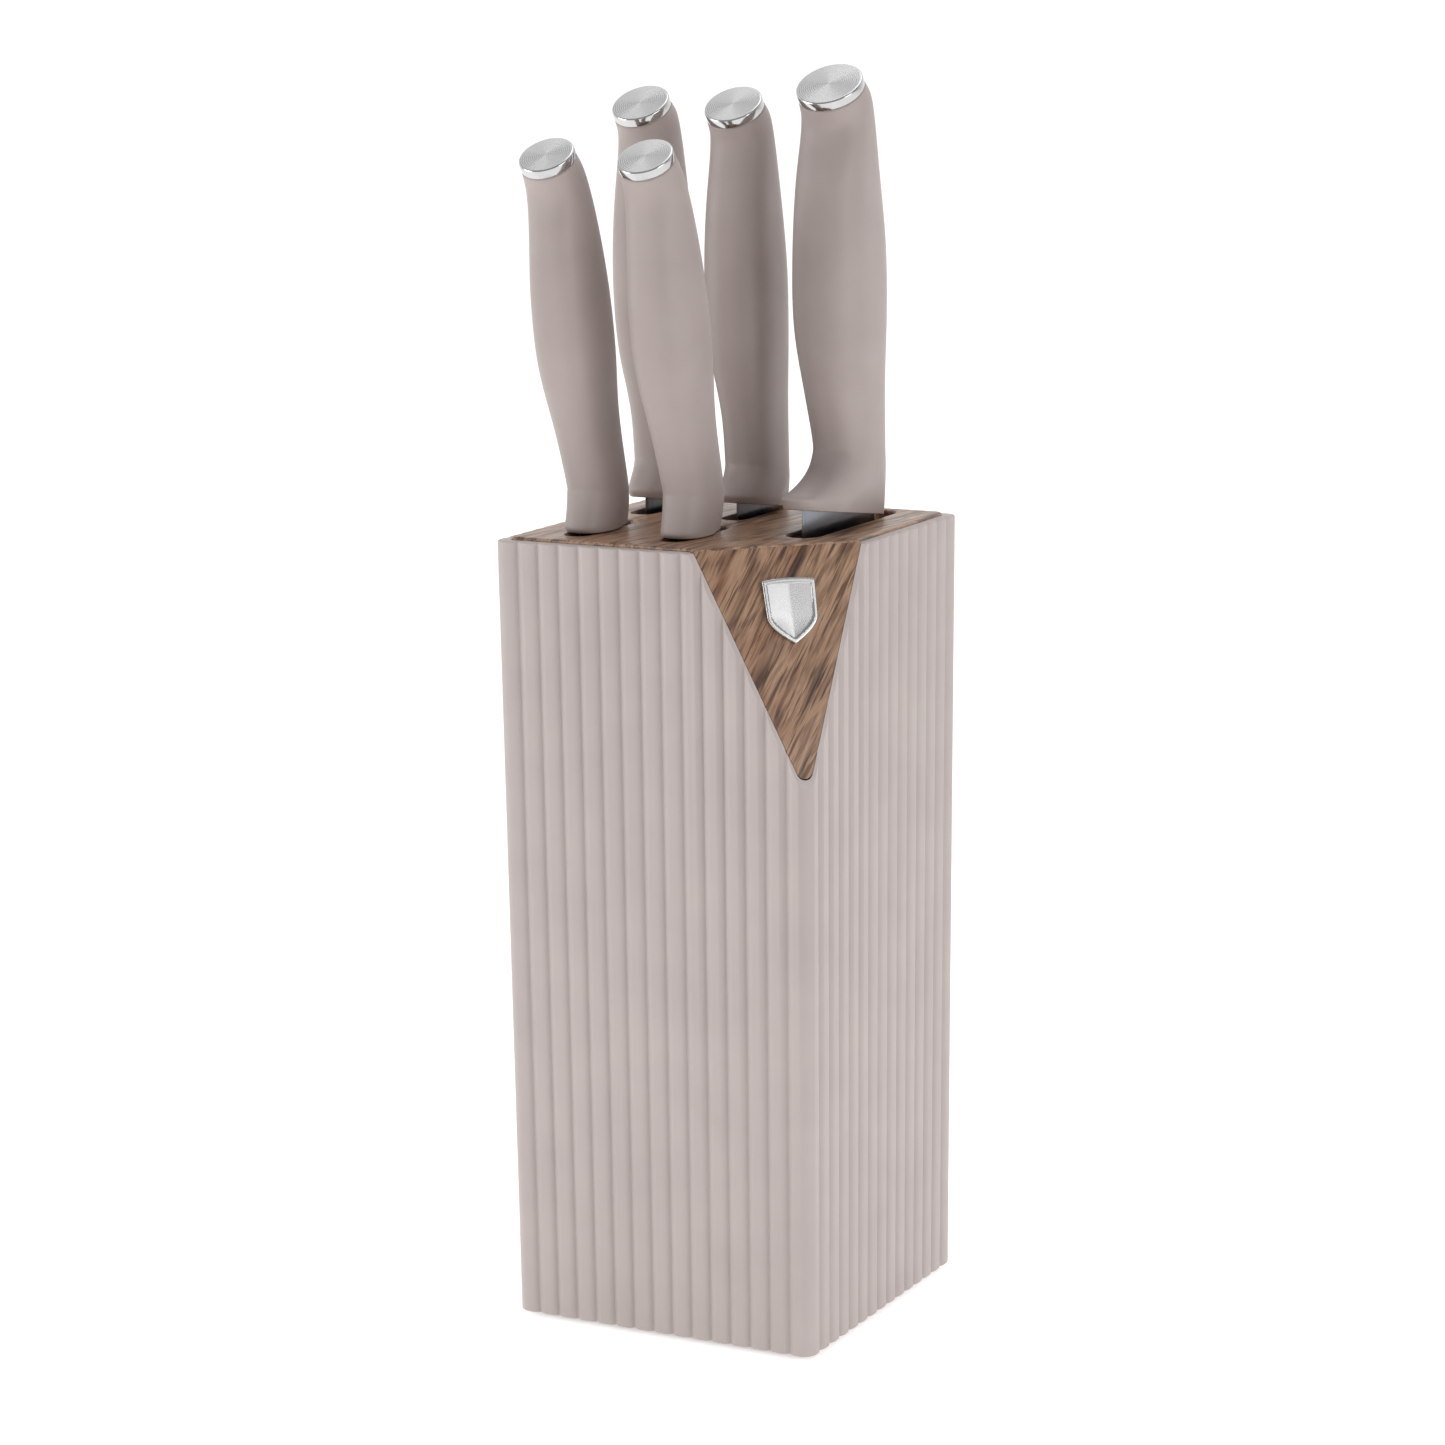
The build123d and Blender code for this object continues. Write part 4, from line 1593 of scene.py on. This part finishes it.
@dataclass
class Studio:
    """Pale floor, soft lights and the camera."""

    yaw: float = math.radians(27.6926)
    pitch: float = math.radians(11.2186)
    roll: float = math.radians(-0.6611)
    stand: tuple[float, float, float] = (567.81, -1088.15, 425.46)
    focal: float = 101.76
    floor_size: float = 3.0
    floor_glow: float = 0.5
    backdrop_side: tuple[float, float, float] = (-0.465, 0.885, 0.0)
    backdrop_light: float = 1.1
    room_light: float = 0.4
    aim: tuple[float, float, float] = (0.0, 0.0, 0.18)
    softboxes: tuple[Softbox, ...] = (
        Softbox("left_softbox", (-1.5, -1.0, 0.7), 1.0, 12.0),
        Softbox("right_softbox", (1.9, -0.6, 0.7), 1.0, 9.0),
        Softbox("top_softbox", (0.1, 0.4, 1.9), 1.2, 7.0),
    )

    def camera(self) -> None:
        """Stand the camera at the viewing angle and make it the scene's own."""
        level = math.cos(self.pitch)
        forward = Vector((-math.sin(self.yaw) * level, math.cos(self.yaw) * level, -math.sin(self.pitch)))
        right = Vector((math.cos(self.yaw), math.sin(self.yaw), 0))
        up = right.cross(forward)
        across = right * math.cos(self.roll) + up * math.sin(self.roll)
        above = up * math.cos(self.roll) - right * math.sin(self.roll)
        data = bpy.data.cameras.new("camera")
        data.lens = self.focal
        data.sensor_width = 36.0
        data.clip_start, data.clip_end = 0.05, 30.0
        obj = bpy.data.objects.new("camera", data)
        turn = Matrix((across, above, -forward)).transposed().to_4x4()
        obj.matrix_world = Matrix.Translation(Vector(self.stand) * MM) @ turn
        bpy.context.scene.collection.objects.link(obj)
        bpy.context.scene.camera = obj

    def floor(self) -> None:
        """Lay a wide white floor."""
        mesh = bpy.data.meshes.new("floor")
        work = bmesh.new()
        bmesh.ops.create_grid(work, x_segments=8, y_segments=8, size=self.floor_size)
        work.to_mesh(mesh)
        work.free()
        obj = bpy.data.objects.new("floor", mesh)
        bpy.context.scene.collection.objects.link(obj)
        paint = FLOOR_PAINT.material()
        shader = next(n for n in paint.node_tree.nodes if n.type == "BSDF_PRINCIPLED")
        shader.inputs["Emission Color"].default_value = (1, 1, 1, 1)
        shader.inputs["Emission Strength"].default_value = self.floor_glow
        obj.data.materials.append(paint)

    def hang(self, box: Softbox) -> None:
        """Hang a soft light that faces the block.

        Args:
            box: The light's place, size and power.
        """
        data = bpy.data.lights.new(box.name, "AREA")
        data.shape = "SQUARE"
        data.size = box.size
        data.energy = box.power
        obj = bpy.data.objects.new(box.name, data)
        at = Vector(box.at)
        turn = (Vector(self.aim) - at).to_track_quat("-Z", "Y").to_matrix().to_4x4()
        obj.matrix_world = Matrix.Translation(at) @ turn
        bpy.context.scene.collection.objects.link(obj)

    def light(self) -> None:
        """Surroundings that brighten towards the backdrop, and the soft lights."""
        world = bpy.data.worlds.new("studio")
        bpy.context.scene.world = world
        world.use_nodes = True
        sky = next(n for n in world.node_tree.nodes if n.type == "BACKGROUND")
        sky.inputs["Color"].default_value = (1, 1, 1, 1)
        tree = world.node_tree
        look = add_node(tree, "ShaderNodeTexCoord")
        facing = add_node(
            tree,
            "ShaderNodeVectorMath",
            {"operation": "DOT_PRODUCT"},
            {1: self.backdrop_side},
            {0: look.outputs["Generated"]},
        )
        level = add_node(
            tree,
            "ShaderNodeMapRange",
            values={"From Min": -0.2, "From Max": 0.7, "To Min": self.room_light, "To Max": self.backdrop_light},
            links={"Value": facing.outputs["Value"]},
        )
        tree.links.new(level.outputs["Result"], sky.inputs["Strength"])
        for box in self.softboxes:
            self.hang(box)
        bpy.context.scene.view_settings.view_transform = "Standard"

    def build(self) -> None:
        """Set up the camera, the floor and the lights."""
        self.camera()
        self.floor()
        self.light()


def main() -> None:
    """Build the block, then the knives, then the studio."""
    logging.basicConfig(level=logging.INFO, format="%(message)s")
    Block().assemble()
    for knife in KNIVES:
        knife.assemble()
    Studio().build()
    bpy.context.view_layer.update()


if __name__ == "__main__":
    main()
